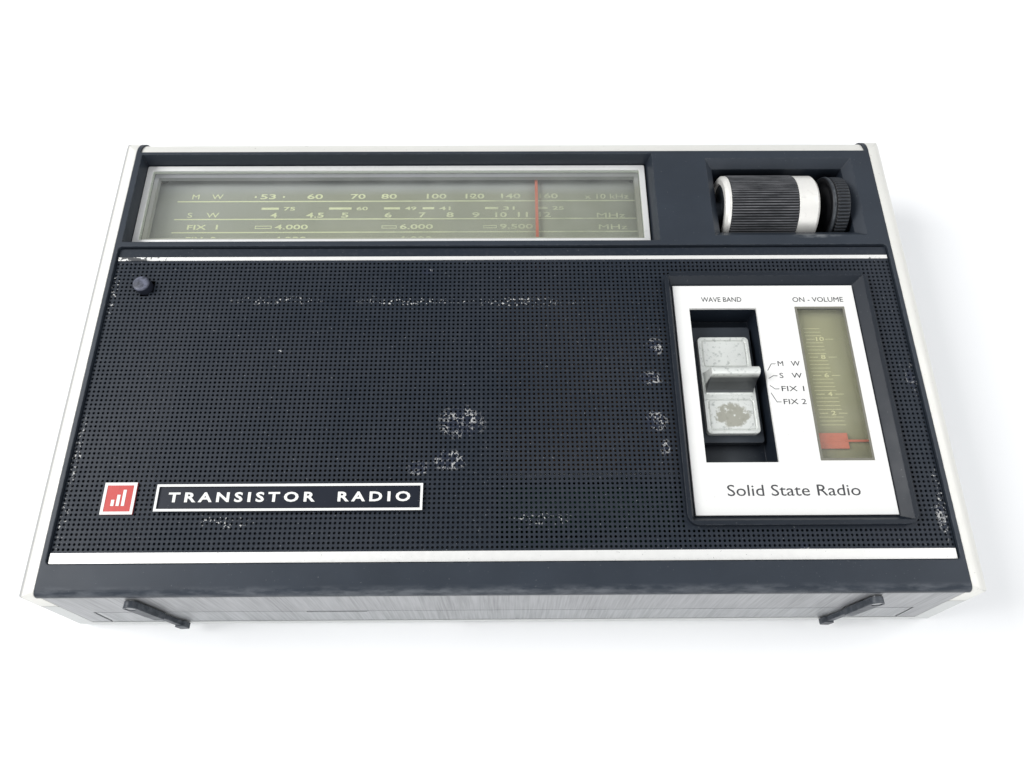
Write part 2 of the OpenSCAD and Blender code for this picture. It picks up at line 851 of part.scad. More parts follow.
module volume_pointer() {
    flag_z = 28.4;
    color(red)
    difference() {
        union() {
            slab(85, 92.9, volume_v - 2.2, volume_v + 2.2, flag_z, flag_z + 0.4);
            slab(85, 102.1, volume_v - 0.3, volume_v + 0.3, flag_z, flag_z + 0.45);
            slab(100.9, 102.1, volume_v - 1.2, volume_v + 1.2, volume_rail_z, flag_z + 0.45);
            slab(99.3, 103.1, volume_v - 3, volume_v + 3, volume_rail_z - 1.5, volume_rail_z + 1.5);
        }
        rod_y(rail_r + run, volume_v - 6, volume_v + 6, volume_rail_x, volume_rail_z);
    }
}

module light_button() {
    crown = 33.6;
    color("#17191b")
    translate([button_x, fy(button_v), 0])
        rotate_extrude()
            polygon(concat([[0, 19.5], [1.4, 19.5], [1.4, button_head_z], [button_r, button_head_z],
                [button_r, crown - 0.6]], arc(button_r - 0.6, crown - 0.6, 0.6, 0, 90, 5),
                [[0, crown + 0.15]]));
}

module button_spring() {
    color("#b0b2b4")
    translate([button_x, fy(button_v), button_seat_z + 0.05])
        coil(1.95, 0.25, button_head_z - button_seat_z - 0.1, 4);
}

module lamp_switch() {
    color("#7c5a38")
    difference() {
        slab(-108.2, -100.2, button_v - 3.8, button_v + 3.8, 15.5, button_seat_z - 1.5);
        rod_z(1.4 + run * 4, 19.5 - button_travel - 0.4, 26, button_x, button_v);
    }
}

// ---------------------------------------------------------------- feet

// Swing-out foot: round head, tapered arm, thin rod and a flat tip
module foot(side) {
    head_r = 1.8;
    arm_t = 1.7;
    arm_end = -12;
    rod_w = 0.8;
    tip_w = 1.4;
    color("#202327")
    on_bottom(side)
        rotate([0, 0, -side * foot_lean])
            difference() {
                translate([0, 0, gap]) {
                    cylinder(r = head_r, h = arm_t);
                    linear_extrude(arm_t)
                        polygon([[0.1 - head_r, 0], [-1.4, arm_end + 0.4], [-1, arm_end], [1, arm_end],
                            [1.4, arm_end + 0.4], [head_r - 0.1, 0]]);
                    linear_extrude(arm_t - 0.5)
                        polygon([[-rod_w, arm_end + 1], [-rod_w, 1 - foot_len], [rod_w, 1 - foot_len],
                            [rod_w, arm_end + 1]]);
                    linear_extrude(arm_t - 0.2)
                        polygon(round_rect(-tip_w, tip_w, -foot_len, 3.2 - foot_len, 0.5));
                }
                translate([0, 0, -1])
                    cylinder(r = foot_pin_r + run, h = 6);
                translate([0, 0, pin_seat])
                    cylinder(r = pin_head_r + 0.1, h = 4);
            }
}

module foot_left() {
    foot(-1);
}

module foot_right() {
    foot(1);
}

module foot_pins() {
    shank = 6.5;
    color("#8b8d90")
    for (side = [-1, 1])
        on_bottom(side)
            difference() {
                union() {
                    translate([0, 0, -shank])
                        cylinder(r = foot_pin_r, h = shank + pin_seat + run);
                    translate([0, 0, pin_seat + run])
                        cylinder(r = pin_head_r, h = 0.4);
                }
                translate([-3, -0.2, pin_seat + 0.25])
                    cube([6, 0.4, 1]);
            }
}

// ---------------------------------------------------------------- antenna

module antenna_base() {
    ear_in = knuckle_r + 0.1;
    ear_out = knuckle_r + 1.3;
    color(chrome_tone) {
        difference() {
            union() {
                rod_y(2.2, -8, 0.5, mast_x, mast_z);
                rod_y(4, -7.7, -6.8, mast_x, mast_z);
                slab(mast_x - 2.6, mast_x + 2.6, mast_v, -7.5, mast_z - ear_out, mast_z + ear_out);
                rod_z(2.6, mast_z - ear_out, mast_z + ear_out, mast_x, mast_v);
            }
            slab(mast_x - 4, mast_x + 4, -20, -7.75, mast_z - ear_in, mast_z + ear_in);
        }
        rod_z(1.1, mast_z - ear_out + 0.2, mast_z + ear_out - 0.2, mast_x, mast_v);
    }
}

// Outer radius of antenna section n, counted from 0 at the base
function mast_outer(n) = mast_r - n * mast_step;

// Free end of section n when the antenna is pushed together
function mast_end(n) = mast_x + 8 - mast_len - 2 * n;

// Inner end of section n
function mast_start(n) = mast_x - 3 - 4 * n;

module antenna_section(n) {
    color(chrome_tone)
    difference() {
        rod_x(mast_outer(n), mast_end(n), mast_start(n), mast_v, mast_z);
        rod_x(mast_outer(n) - mast_wall, mast_end(n) - 1, mast_start(n) - 3, mast_v, mast_z);
    }
}

module antenna_tube_1() {
    antenna_section(0);
    color(chrome_tone)
    difference() {
        union() {
            rod_z(2.3, mast_z - knuckle_r, mast_z + knuckle_r, mast_x, mast_v);
            slab(mast_x - 3.2, mast_x, mast_v - 1.6, mast_v + 1.6, mast_z - knuckle_r + 0.3,
                mast_z + knuckle_r - 0.3);
        }
        rod_z(1.1 + run, 0, 20, mast_x, mast_v);
    }
}

module antenna_tube_2() {
    antenna_section(1);
}

module antenna_tube_3() {
    antenna_section(2);
}

module antenna_rod() {
    tip_x = mast_end(3);
    color(chrome_tone) {
        rod_x(mast_outer(3), tip_x, mast_start(3), mast_v, mast_z);
        translate([tip_x - 6, fy(mast_v), mast_z])
            rotate([0, 90, 0])
                rotate_extrude()
                    polygon([[0, 0], [2, 0], [mast_r, 0.9], [mast_r, 5.2], [2.2, 6], [0, 6]]);
    }
}

// ---------------------------------------------------------------- works

module circuit_board() {
    color("#6b5a32")
    difference() {
        union() {
            slab(-4, 104, 34.8, 98.5, board_z, board_z + board_t);
            slab(16, 62.5, 3.5, 35, board_z, board_z + board_t);
        }
        rod_z(3.4, board_z - 1, board_z + 3, cap_x, knob_v);
        for (p = board_posts)
            rod_z(1.5, board_z - 1, board_z + 3, p[0], p[1]);
    }
}

module tuning_capacitor() {
    color("#d9d5c4")
    difference() {
        slab(cap_x - cap_w / 2, cap_x + cap_w / 2, knob_v - cap_w / 2, knob_v + cap_w / 2,
            3, board_z - 0.05);
        rod_z(2.9 + run, 8, board_z + 1, cap_x, knob_v);
    }
}

module capacitor_drum() {
    rim_t = 1;
    color("#e4e0d2")
    translate([cap_x, fy(knob_v), 0])
        rotate_extrude()
            polygon([[0, 8.4], [2.9, 8.4], [2.9, drum_z], [drum_r, drum_z], [drum_r, drum_z + rim_t],
                [drum_r - 0.8, drum_z + rim_t], [drum_r - 0.8, drum_z + drum_t - rim_t],
                [drum_r, drum_z + drum_t - rim_t], [drum_r, drum_z + drum_t],
                [drum_r - 2.5, drum_z + drum_t], [drum_r - 2.5, drum_z + rim_t],
                [5, drum_z + rim_t], [5, drum_z + drum_t], [0, drum_z + drum_t]]);
}

module ferrite_rod() {
    color("#3b3a3c")
    rod_x(ferrite_r, ferrite_x0, ferrite_x1, ferrite_v, ferrite_z);
}

module antenna_coils() {
    color("#a5682f")
    for (x = [-88, -62, -22])
        difference() {
            rod_x(ferrite_r + 1, x, x + 14, ferrite_v, ferrite_z);
            rod_x(ferrite_r + run, x - 1, x + 15, ferrite_v, ferrite_z);
        }
}

module rod_holders() {
    color("#dedcd2")
    for (x = holder_places)
        difference() {
            slab(x - 1.5, x + 1.5, ferrite_v - 6.5, ferrite_v + 6.5, 2.05, ferrite_z + 6.3);
            rod_x(ferrite_r + run, x - 2, x + 2, ferrite_v, ferrite_z);
        }
}

module if_cans() {
    color("#c9cbcd")
    for (i = [0:5])
        soft_slab(8 + 13 * i, 16 + 13 * i, 42, 50, 3.6, board_z - 0.05, 0.6);
}

module electrolytics() {
    color("#3a5f8c")
    for (p = [[12, 60], [24, 60], [12, 88], [36, 88], [84, 62], [84, 80]])
        rod_z(3, 4, board_z - 0.05, p[0], p[1]);
}

module crystals() {
    color("#d7d8d9")
    for (x = [44, 62])
        soft_slab(x, x + 11, 58, 62.6, 3.4, board_z - 0.05, 2.2);
}

module speaker_frame() {
    color("#8d9093")
    translate([speaker_x, fy(speaker_v), 0])
        difference() {
            rotate_extrude()
                polygon([[speaker_r - 3.4, speaker_z - 1.2], [17.2, 14.1], [15, 14.1], [15, 13.1],
                    [18, 13.1], [speaker_r - 2.6, speaker_z - 2.4], [speaker_r, speaker_z - 2.4],
                    [speaker_r, speaker_z], [speaker_r - 3.4, speaker_z]]);
            for (i = [0:3])
                rotate([0, 0, 45 + 90 * i])
                    translate([20, -9, 12])
                        cube([10, 18, 12.5]);
        }
}

module speaker_cone() {
    color("#2e2c2a")
    translate([speaker_x, fy(speaker_v), 0])
        rotate_extrude()
            polygon([[0, 19.4], [4, 18.9], [7.5, 17], [32, 26.4], [33.6, 26.9], [34.3, 27.6],
                [34.3, 28.2], [33, 27.9], [31.4, 27], [8, 18], [4.3, 19.8], [0, 20.3]]);
}

module speaker_magnet() {
    color("#4a4c4f")
    translate([speaker_x, fy(speaker_v), 0]) {
        translate([0, 0, 4])
            cylinder(r = 13, h = 1.6);
        translate([0, 0, 5.6])
            cylinder(r = 16, h = 6.2);
        translate([0, 0, 11.8])
            cylinder(r = 14, h = 1.3);
    }
}

module battery_cells() {
    color("#3c6e4f")
    for (v = cell_rows, x = [-2, 49.2]) {
        rod_x(cell_r, x, x + cell_len, v, cell_z);
        rod_x(2.7, x + cell_len, x + cell_len + 1.2, v, cell_z);
    }
}

module battery_contacts() {
    coil_len = 5.2;
    color("#c9cbcc")
    for (v = cell_rows) {
        slab(bay_x0 + 0.05, bay_x0 + 0.45, v - 5, v + 5, cell_z - 5, cell_z + 5);
        slab(bay_x1 - 0.55, bay_x1 - 0.15, v - 5, v + 5, cell_z - 5, cell_z + 5);
        translate([bay_x0 + 0.5, fy(v), cell_z])
            rotate([0, 90, 0])
                coil(3.6, 0.4, coil_len, 4);
    }
}

module earphone_jack() {
    color("#2c2e30")
    difference() {
        union() {
            rod_x(3.9, jack_x0 - 2, 118.9, jack_v, jack_z);
            rod_x(2.9, 118, jack_x1, jack_v, jack_z);
        }
        rod_x(jack_r, jack_x0, jack_x1 + 1, jack_v, jack_z);
    }
}

module case_screws() {
    color("#a6a8aa")
    for (side = [-1, 1], v = boss_rows)
        difference() {
            union() {
                rod_z(2.8, 0.6, 2.6, side * boss_x, v);
                rod_z(screw_r, 2.5, 24, side * boss_x, v);
            }
            slab(side * boss_x - 2, side * boss_x + 2, v - 0.4, v + 0.4, 0, 1.5);
            slab(side * boss_x - 0.4, side * boss_x + 0.4, v - 2, v + 2, 0, 1.5);
        }
}

cabinet_front();
top_cap();
side_cap_left();
side_cap_right();
rear_case();
bottom_plate();
service_cover();
battery_door();
grille_panel();
panel_stripes();
dial_frame();
dial_lens();
dial_scale();
dial_pointer();
guide_rails();
dial_lamps();
tuning_shaft();
cord_pulley();
knob_sleeve();
knob_band();
knob_ring();
volume_wheel();
volume_control();
control_bezel();
control_plate();
selector_slide();
selector_shutter();
band_switch();
volume_lens();
volume_scale();
volume_pointer();
light_button();
button_spring();
lamp_switch();
badge();
nameplate();
foot_left();
foot_right();
foot_pins();
antenna_base();
antenna_tube_1();
antenna_tube_2();
antenna_tube_3();
antenna_rod();
circuit_board();
tuning_capacitor();
capacitor_drum();
ferrite_rod();
antenna_coils();
rod_holders();
if_cans();
electrolytics();
crystals();
speaker_frame();
speaker_cone();
speaker_magnet();
battery_cells();
battery_contacts();
earphone_jack();
case_screws();
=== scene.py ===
"""Looks of the portable multiband radio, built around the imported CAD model.

Lengths are in millimetres unless a comment says otherwise. at(x, v, z) turns a place across the
front (x), a drop below the front's top edge (v) and a height above the back face (z) into metres
in the row frame.
"""

import math

import bmesh
import bpy
from mathutils import Matrix, Vector


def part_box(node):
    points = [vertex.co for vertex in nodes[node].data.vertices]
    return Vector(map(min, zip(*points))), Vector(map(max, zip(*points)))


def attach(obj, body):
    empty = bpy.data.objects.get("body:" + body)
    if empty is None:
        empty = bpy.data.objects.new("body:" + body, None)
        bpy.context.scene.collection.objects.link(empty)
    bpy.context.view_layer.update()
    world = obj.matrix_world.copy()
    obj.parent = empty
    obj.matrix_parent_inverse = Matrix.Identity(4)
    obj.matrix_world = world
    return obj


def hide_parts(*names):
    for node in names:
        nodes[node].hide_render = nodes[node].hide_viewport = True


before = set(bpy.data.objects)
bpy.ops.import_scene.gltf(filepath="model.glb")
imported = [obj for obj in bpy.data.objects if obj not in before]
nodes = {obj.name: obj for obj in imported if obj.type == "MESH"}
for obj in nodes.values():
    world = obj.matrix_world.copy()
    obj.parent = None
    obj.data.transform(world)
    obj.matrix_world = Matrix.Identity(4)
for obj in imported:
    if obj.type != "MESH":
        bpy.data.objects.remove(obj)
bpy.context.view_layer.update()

MM = 0.001


def upper_face(name):
    """Height of a CAD piece's upper face above the back."""
    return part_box(name)[1].z / MM


def lower_face(name):
    """Height of a CAD piece's lower face above the back."""
    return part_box(name)[0].z / MM


FRONT = 32.0        # height of the front plane
PANEL_DROP = 35.0   # drop of the grille panel's upper edge
INK = 0.03          # thickness of print
PRINT_LIFT = 0.015  # gap that keeps print off the face under it

front_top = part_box("grille_panel")[1].y / MM + PANEL_DROP
panel_face = upper_face("grille_panel")

knob_low, knob_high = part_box("knob_sleeve")
KNOB_V = front_top - (knob_low.y + knob_high.y) / 2 / MM
KNOB_Z = (knob_low.z + knob_high.z) / 2 / MM


def at(x, v, z):
    """A place in metres, from millimetres across, down and out of the front."""
    return Vector((x, front_top - v, z)) * MM


def footprint(name):
    """Where a CAD piece lies on the front: (x0, x1, upper drop, lower drop)."""
    low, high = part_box(name)
    return low.x / MM, high.x / MM, front_top - high.y / MM, front_top - low.y / MM


def half_height(name):
    """Half a CAD piece's height, which is a turned piece's outer radius."""
    low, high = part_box(name)
    return (high.z - low.z) / 2 / MM


def grown(area, by):
    """An area (x0, x1, v0, v1) with a margin added all round."""
    return area[0] - by, area[1] + by, area[2] - by, area[3] + by


def within(area, x, v):
    """Whether a place lies inside an area."""
    return area[0] < x < area[1] and area[2] < v < area[3]


# ------------------------------------------------------------------ materials


class Paint:
    """A node material on one Principled shader, with layers driven by object coordinates."""

    def __init__(self, name, color, rough, metallic=0.0, specular=0.5):
        self.material = bpy.data.materials.new(name)
        self.material.use_nodes = True
        self.tree = self.material.node_tree
        self.shader = self.tree.nodes["Principled BSDF"]
        self.color = self.rgb(color)
        self.normal = None
        self.shader.inputs["Roughness"].default_value = rough
        self.shader.inputs["Metallic"].default_value = metallic
        self.shader.inputs["Specular IOR Level"].default_value = specular
        self.place = self.add("ShaderNodeTexCoord").outputs["Object"]

    def add(self, kind, **settings):
        """A new node in the tree, with its settings."""
        node = self.tree.nodes.new(kind)
        for key, value in settings.items():
            setattr(node, key, value)
        return node

    def link(self, a, b):
        self.tree.links.new(a, b)

    def rgb(self, color):
        """A colour as a node output, so that layers can be laid over it."""
        node = self.add("ShaderNodeRGB")
        node.outputs[0].default_value = (*color, 1.0)
        return node.outputs[0]

    def scaled(self, stretch):
        """The place in millimetres, stretched along each axis."""
        node = self.add("ShaderNodeMapping")
        node.inputs["Scale"].default_value = [s / MM for s in stretch]
        self.link(self.place, node.inputs["Vector"])
        return node.outputs["Vector"]

    def noise(self, scale, detail, stretch=(1, 1, 1)):
        """Noise with scale features to the millimetre."""
        node = self.add("ShaderNodeTexNoise")
        node.inputs["Scale"].default_value = scale
        node.inputs["Detail"].default_value = detail
        node.inputs["Roughness"].default_value = 0.6
        self.link(self.scaled(stretch), node.inputs["Vector"])
        return node.outputs["Fac"]

    def patches(self, scale, detail, low, high, stretch=(1, 1, 1)):
        """Noise turned into patches: 0 where it is under low, 1 where it is over high."""
        return self.span(self.noise(scale, detail, stretch), low, high)

    def span(self, value, low, high, out_low=0.0, out_high=1.0):
        """A value stretched so that low becomes out_low and high becomes out_high, and clipped there."""
        node = self.add("ShaderNodeMapRange")
        node.inputs["From Min"].default_value = low
        node.inputs["From Max"].default_value = high
        node.inputs["To Min"].default_value = out_low
        node.inputs["To Max"].default_value = out_high
        self.link(value, node.inputs["Value"])
        return node.outputs["Result"]

    def math(self, operation, a, b=None):
        """One sum on outputs or numbers."""
        node = self.add("ShaderNodeMath", operation=operation)
        for slot, value in ((0, a), (1, b)):
            if value is None:
                continue
            if isinstance(value, (int, float)):
                node.inputs[slot].default_value = value
            else:
                self.link(value, node.inputs[slot])
        return node.outputs[0]

    def axis(self, letter):
        """The place along one axis, in millimetres."""
        node = self.add("ShaderNodeSeparateXYZ")
        self.link(self.place, node.inputs[0])
        return self.math("MULTIPLY", node.outputs[letter], 1 / MM)

    def along(self, letter, start, end):
        """0 at start and 1 at end along one axis."""
        return self.span(self.axis(letter), start, end)

    def down(self, start, end):
        """0 at one drop below the front's top edge and 1 at another."""
        return self.along("Y", front_top - start, front_top - end)

    def both(self, a, b):
        """The product of two factors: 1 where both are."""
        return self.math("MULTIPLY", a, b)

    def from_knob_axis(self):
        """Distance from the knobs' axis, in millimetres."""
        up = self.math("SUBTRACT", self.axis("Y"), front_top - KNOB_V)
        out = self.math("SUBTRACT", self.axis("Z"), KNOB_Z)
        return self.math("SQRT", self.math("ADD", self.both(up, up), self.both(out, out)))

    def edges(self, radius):
        """1 on convex edges, 0 on flats."""
        bevel = self.add("ShaderNodeBevel", samples=4)
        bevel.inputs["Radius"].default_value = radius * MM
        geometry = self.add("ShaderNodeNewGeometry")
        dot = self.add("ShaderNodeVectorMath", operation="DOT_PRODUCT")
        self.link(bevel.outputs[0], dot.inputs[0])
        self.link(geometry.outputs["Normal"], dot.inputs[1])
        return self.span(dot.outputs["Value"], 0.985, 0.86)

    def soften(self, radius):
        """Rounds the look of sharp edges."""
        bevel = self.add("ShaderNodeBevel", samples=4)
        bevel.inputs["Radius"].default_value = radius * MM
        self.normal = bevel.outputs[0]

    def tint(self, factor, color, strength=1.0):
        """Lays a colour over what is there, where factor is 1."""
        mix = self.add("ShaderNodeMix", data_type="RGBA")
        amount = self.both(factor, strength) if strength != 1.0 else factor
        self.link(amount, mix.inputs["Factor"])
        self.link(self.color, mix.inputs["A"])
        mix.inputs["B"].default_value = (*color, 1.0)
        self.color = mix.outputs["Result"]

    def gloss(self, factor, value):
        """Changes roughness to value where factor is 1."""
        rough = self.shader.inputs["Roughness"]
        mix = self.add("ShaderNodeMix", data_type="FLOAT")
        self.link(factor, mix.inputs["Factor"])
        mix.inputs["A"].default_value = rough.default_value
        mix.inputs["B"].default_value = value
        self.link(mix.outputs["Result"], rough)

    def bump(self, height, depth, strength):
        """Relief that is depth millimetres high, on top of any softened edges."""
        node = self.add("ShaderNodeBump")
        node.inputs["Strength"].default_value = strength
        node.inputs["Distance"].default_value = depth * MM
        self.link(height, node.inputs["Height"])
        if self.normal is not None:
            self.link(self.normal, node.inputs["Normal"])
        self.normal = node.outputs["Normal"]

    def near(self, spots):
        """1 in the middle of each spot (x, v, half width, half height), fading to 0 at its rim."""
        total = None
        for x, v, half_x, half_v in spots:
            node = self.add("ShaderNodeMapping", vector_type="TEXTURE")
            node.inputs["Location"].default_value = (x * MM, (front_top - v) * MM, 0)
            node.inputs["Scale"].default_value = (half_x * MM, half_v * MM, 1e3)
            self.link(self.place, node.inputs["Vector"])
            length = self.add("ShaderNodeVectorMath", operation="LENGTH")
            self.link(node.outputs["Vector"], length.inputs[0])
            one = self.span(length.outputs["Value"], 1.0, 0.0)
            total = one if total is None else self.math("MAXIMUM", total, one)
        return total

    def done(self):
        """Plugs the finished colour and relief into the shader."""
        self.link(self.color, self.shader.inputs["Base Color"])
        if self.normal is not None:
            self.link(self.normal, self.shader.inputs["Normal"])
        return self.material


SLATE = (0.026, 0.033, 0.044)
SLATE_WORN = (0.16, 0.17, 0.18)
DEEP_SHADE = (0.006, 0.009, 0.015)
SCUFF = (0.62, 0.62, 0.60)

# Places on the front, each as x, drop, half width and half height.
# Where the grille's paint is rubbed through
SCUFFS = [
    (-11.5, 89.5, 8, 6), (-14.5, 100, 6, 3.5), (-22.5, 102, 4, 2.6), (-22.5, 43, 2.4, 1.5),
    (42.3, 67.5, 3, 3.4), (40.2, 77, 4.4, 2.6), (40.6, 89.5, 4.2, 4), (42.8, 97, 1.8, 3.2),
    (112.3, 77.5, 2, 4), (111.9, 115.5, 1.8, 5), (75.6, 123, 1.6, 1.4), (-27.5, 110.8, 2.2, 1.2),
]
# Where it has fine specks only
SPECKS = [
    (-65, 52.3, 17, 1.6), (-25, 52.8, 22, 1.5), (5, 53.1, 20, 1.8), (-112.7, 49, 1.3, 11),
    (-112.5, 99, 1.4, 14), (-112.2, 114, 1.4, 11), (-71, 116, 9, 2), (10, 115.5, 10, 2),
    (113.5, 77, 1.4, 9), (112.4, 112, 1.6, 12), (-63, 69, 1.6, 1.4),
]
KNOB_WELL_RUB = (94, 31.4, 9, 1.3)
# Where painted light brightens the pocket of the slide's slot
LIT_SLOT_POCKET = (63, 98, 9, 6)
SLIDE_WORN_TILE = (62.8, 86.4, 6.6, 4.4)
SLIDE_SLOPE = (77.1, 81.4)  # drops of the slope's upper and lower end
SLIDE_STEP = 27.1           # height at which the slope rises from the tiles


def shaded(color, share):
    """A colour made darker or lighter, and never brighter than white."""
    return tuple(min(1, c * share) for c in color)


def black_moulding(name, color=SLATE, worn=0.5, grain=0.012, shade=0.8):
    """Fine-grained black plastic, with painted shade below the front plane and a painted highlight in streaks
    along its lowest edge.
    """
    paint = Paint(name, color, rough=0.46, specular=0.30)
    paint.soften(0.35)
    paint.tint(paint.patches(0.05, 4, 0.35, 0.75), shaded(color, 1.35), 0.7)
    paint.tint(paint.both(paint.edges(0.4), paint.patches(0.6, 5, 0.4, 0.7)), SLATE_WORN, worn)
    paint.tint(paint.patches(1.6, 2, 0.70, 0.76), (0.20, 0.21, 0.22), 0.35)
    low_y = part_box("cabinet_front")[0].y / MM
    streaks = paint.patches(0.5, 6, 0.42, 0.66, stretch=(0.3, 1, 1))
    # Painted highlight in streaks along the lowest edge of the front bar
    painted_lip_highlight = paint.both(paint.along("Y", low_y + 3.2, low_y + 1.8), streaks)
    paint.tint(painted_lip_highlight, (0.11, 0.12, 0.135), 0.75)
    streaks = paint.patches(0.5, 5, 0.36, 0.6, stretch=(0.5, 1, 1))
    rub = paint.both(paint.near([KNOB_WELL_RUB]), streaks)
    paint.tint(paint.span(rub, 0.1, 0.6), SLATE_WORN, 0.8)
    # Painted light in the pocket of the slide's slot
    paint.tint(paint.near([LIT_SLOT_POCKET]), (0.085, 0.095, 0.105), 0.9)
    paint.tint(paint.along("Z", FRONT - 0.5, FRONT - 5), DEEP_SHADE, shade)
    paint.gloss(paint.patches(0.12, 4, 0.3, 0.7), 0.36)
    paint.bump(paint.noise(3.5, 2), grain, 0.6)
    return paint.done()


def button_cap():
    """Black button with a top rubbed to a bluish grey, partly a painted highlight."""
    paint = Paint("button_cap", (0.018, 0.021, 0.032), rough=0.4, specular=0.4)
    paint.soften(0.3)
    top_z = upper_face("light_button")
    # Rubbed wear on the top face, with a painted highlight in the same bluish grey
    rubbed = paint.both(paint.along("Z", top_z - 0.9, top_z - 0.2), paint.patches(0.55, 5, 0.40, 0.62))
    paint.tint(rubbed, (0.17, 0.18, 0.24), 0.8)
    paint.gloss(paint.patches(0.8, 4, 0.3, 0.7), 0.5)
    paint.bump(paint.noise(1.2, 4), 0.02, 0.5)
    return paint.done()


def grille_paint():
    """Black paint on the perforated sheet, with thin scratches in polished patches and sparse chips."""
    paint = Paint("grille_paint", (0.016, 0.022, 0.032), rough=0.5, specular=0.22)
    paint.tint(paint.patches(0.03, 3, 0.35, 0.7), (0.028, 0.033, 0.043), 0.7)
    paint.tint(paint.patches(0.9, 4, 0.5, 0.72), (0.055, 0.060, 0.070), 0.3)
    scuffed = paint.near(SCUFFS)
    paint.tint(paint.span(scuffed, 0.15, 0.6), (0.020, 0.026, 0.048), 0.5)
    off_contour = paint.math("ABSOLUTE", paint.math("SUBTRACT", paint.noise(0.55, 6), 0.5))
    scratch = paint.both(paint.span(off_contour, 0.034, 0.012), paint.patches(0.30, 4, 0.44, 0.56))
    paint.tint(paint.both(scratch, paint.span(scuffed, 0.12, 0.45)), SCUFF, 0.8)
    chips = paint.both(paint.patches(1.5, 2, 0.62, 0.655), paint.span(paint.near(SPECKS), 0.1, 0.4))
    paint.tint(chips, SCUFF, 0.9)
    paint.tint(paint.patches(1.3, 2, 0.715, 0.76), (0.30, 0.31, 0.32), 0.5)
    paint.gloss(paint.patches(0.3, 3, 0.3, 0.7), 0.40)
    paint.bump(paint.noise(4.0, 2), 0.012, 0.5)
    return paint.done()


def silver_spray():
    """Sprayed caps: worn dark on their edges and along the joint with the rear case, with painted shade on
    the far left and over a band next to that joint.
    """
    paint = Paint("silver_spray", (0.80, 0.79, 0.74), rough=0.42, metallic=0.15)
    paint.soften(0.4)
    paint.tint(paint.patches(0.06, 4, 0.3, 0.8), (0.70, 0.69, 0.65), 0.5)
    paint.tint(paint.patches(0.9, 4, 0.66, 0.72), (0.42, 0.41, 0.38), 0.5)
    edge = paint.both(paint.edges(0.5), paint.patches(0.8, 4, 0.35, 0.6))
    paint.tint(edge, (0.30, 0.30, 0.29), 0.6)
    joint_z = lower_face("side_cap_right")
    seam = paint.along("Z", joint_z + 1.0, joint_z + 0.3)
    paint.tint(seam, (0.26, 0.26, 0.255), 0.9)
    left_x = footprint("side_cap_left")[0]
    # Painted shade along the outer left edge of the left cap
    painted_left_shade = paint.along("X", left_x + 3.0, left_x + 2.3)
    paint.tint(painted_left_shade, (0.30, 0.30, 0.295), 0.9)
    # Painted shade: the caps greyer towards the joint with the rear case, next to the floor
    painted_low_shade = paint.along("Z", joint_z + 5.5, joint_z + 0.5)
    paint.tint(painted_low_shade, (0.66, 0.655, 0.62), 0.55)
    paint.gloss(paint.patches(0.2, 4, 0.3, 0.7), 0.52)
    paint.bump(paint.noise(5.0, 2), 0.006, 0.5)
    return paint.done()


def grey_moulding():
    """Rear case and battery door: grey plastic with spots and fine scratches."""
    paint = Paint("grey_moulding", (0.60, 0.61, 0.60), rough=0.48, specular=0.4)
    paint.soften(0.3)
    paint.tint(paint.patches(0.04, 4, 0.3, 0.75), (0.52, 0.53, 0.52), 0.6)
    paint.tint(paint.patches(0.7, 5, 0.66, 0.72), (0.33, 0.33, 0.32), 0.4)
    paint.tint(paint.patches(0.5, 3, 0.70, 0.74, stretch=(0.15, 6, 1)), (0.75, 0.75, 0.74), 0.35)
    paint.gloss(paint.patches(0.15, 4, 0.3, 0.7), 0.56)
    paint.bump(paint.noise(2.6, 3), 0.02, 0.5)
    return paint.done()


def brushed_sheet(name, color):
    """Brushed metal of the bottom face, dark along the joint with the rear case."""
    paint = Paint(name, color, rough=0.38, metallic=0.75)
    paint.soften(0.2)
    lines = paint.noise(1.1, 4, stretch=(1.6, 0.05, 0.05))
    paint.tint(paint.span(lines, 0.38, 0.64), shaded(color, 0.70), 0.85)
    paint.tint(paint.patches(0.12, 3, 0.35, 0.75, stretch=(1.6, 0.2, 0.2)), shaded(color, 1.22), 0.6)
    paint.tint(paint.patches(0.8, 5, 0.68, 0.73), (0.25, 0.25, 0.25), 0.5)
    joint_z = lower_face("service_cover")
    paint.tint(paint.along("Z", joint_z + 0.55, joint_z + 0.25), (0.05, 0.05, 0.055), 0.85)
    paint.gloss(paint.span(lines, 0.3, 0.7), 0.5)
    paint.bump(lines, 0.01, 0.4)
    return paint.done()


def plated(name, color, rough, pitted):
    """Mirror plating with stained and pitted spots."""
    paint = Paint(name, color, rough=rough, metallic=1.0)
    paint.soften(0.25)
    paint.tint(paint.patches(0.5, 5, 0.55, 0.75), (0.55, 0.52, 0.44), pitted)
    paint.tint(paint.patches(1.8, 4, 0.66, 0.72), (0.20, 0.18, 0.14), pitted)
    paint.gloss(paint.patches(0.7, 5, 0.4, 0.75), rough + 0.2)
    paint.bump(paint.noise(0.6, 3), 0.01, 0.3)
    return paint.done()


def satin(name, color, worn=0.2):
    """Bright plating with a fine satin grain, dulled in small spots."""
    paint = Paint(name, color, rough=0.34, metallic=0.35, specular=0.6)
    paint.soften(0.25)
    paint.tint(paint.patches(0.5, 5, 0.58, 0.76), (0.46, 0.45, 0.41), worn)
    paint.tint(paint.patches(1.9, 4, 0.69, 0.74), (0.16, 0.15, 0.13), worn)
    paint.gloss(paint.patches(0.7, 5, 0.4, 0.75), 0.46)
    paint.bump(paint.noise(0.9, 3), 0.004, 0.25)
    return paint.done()


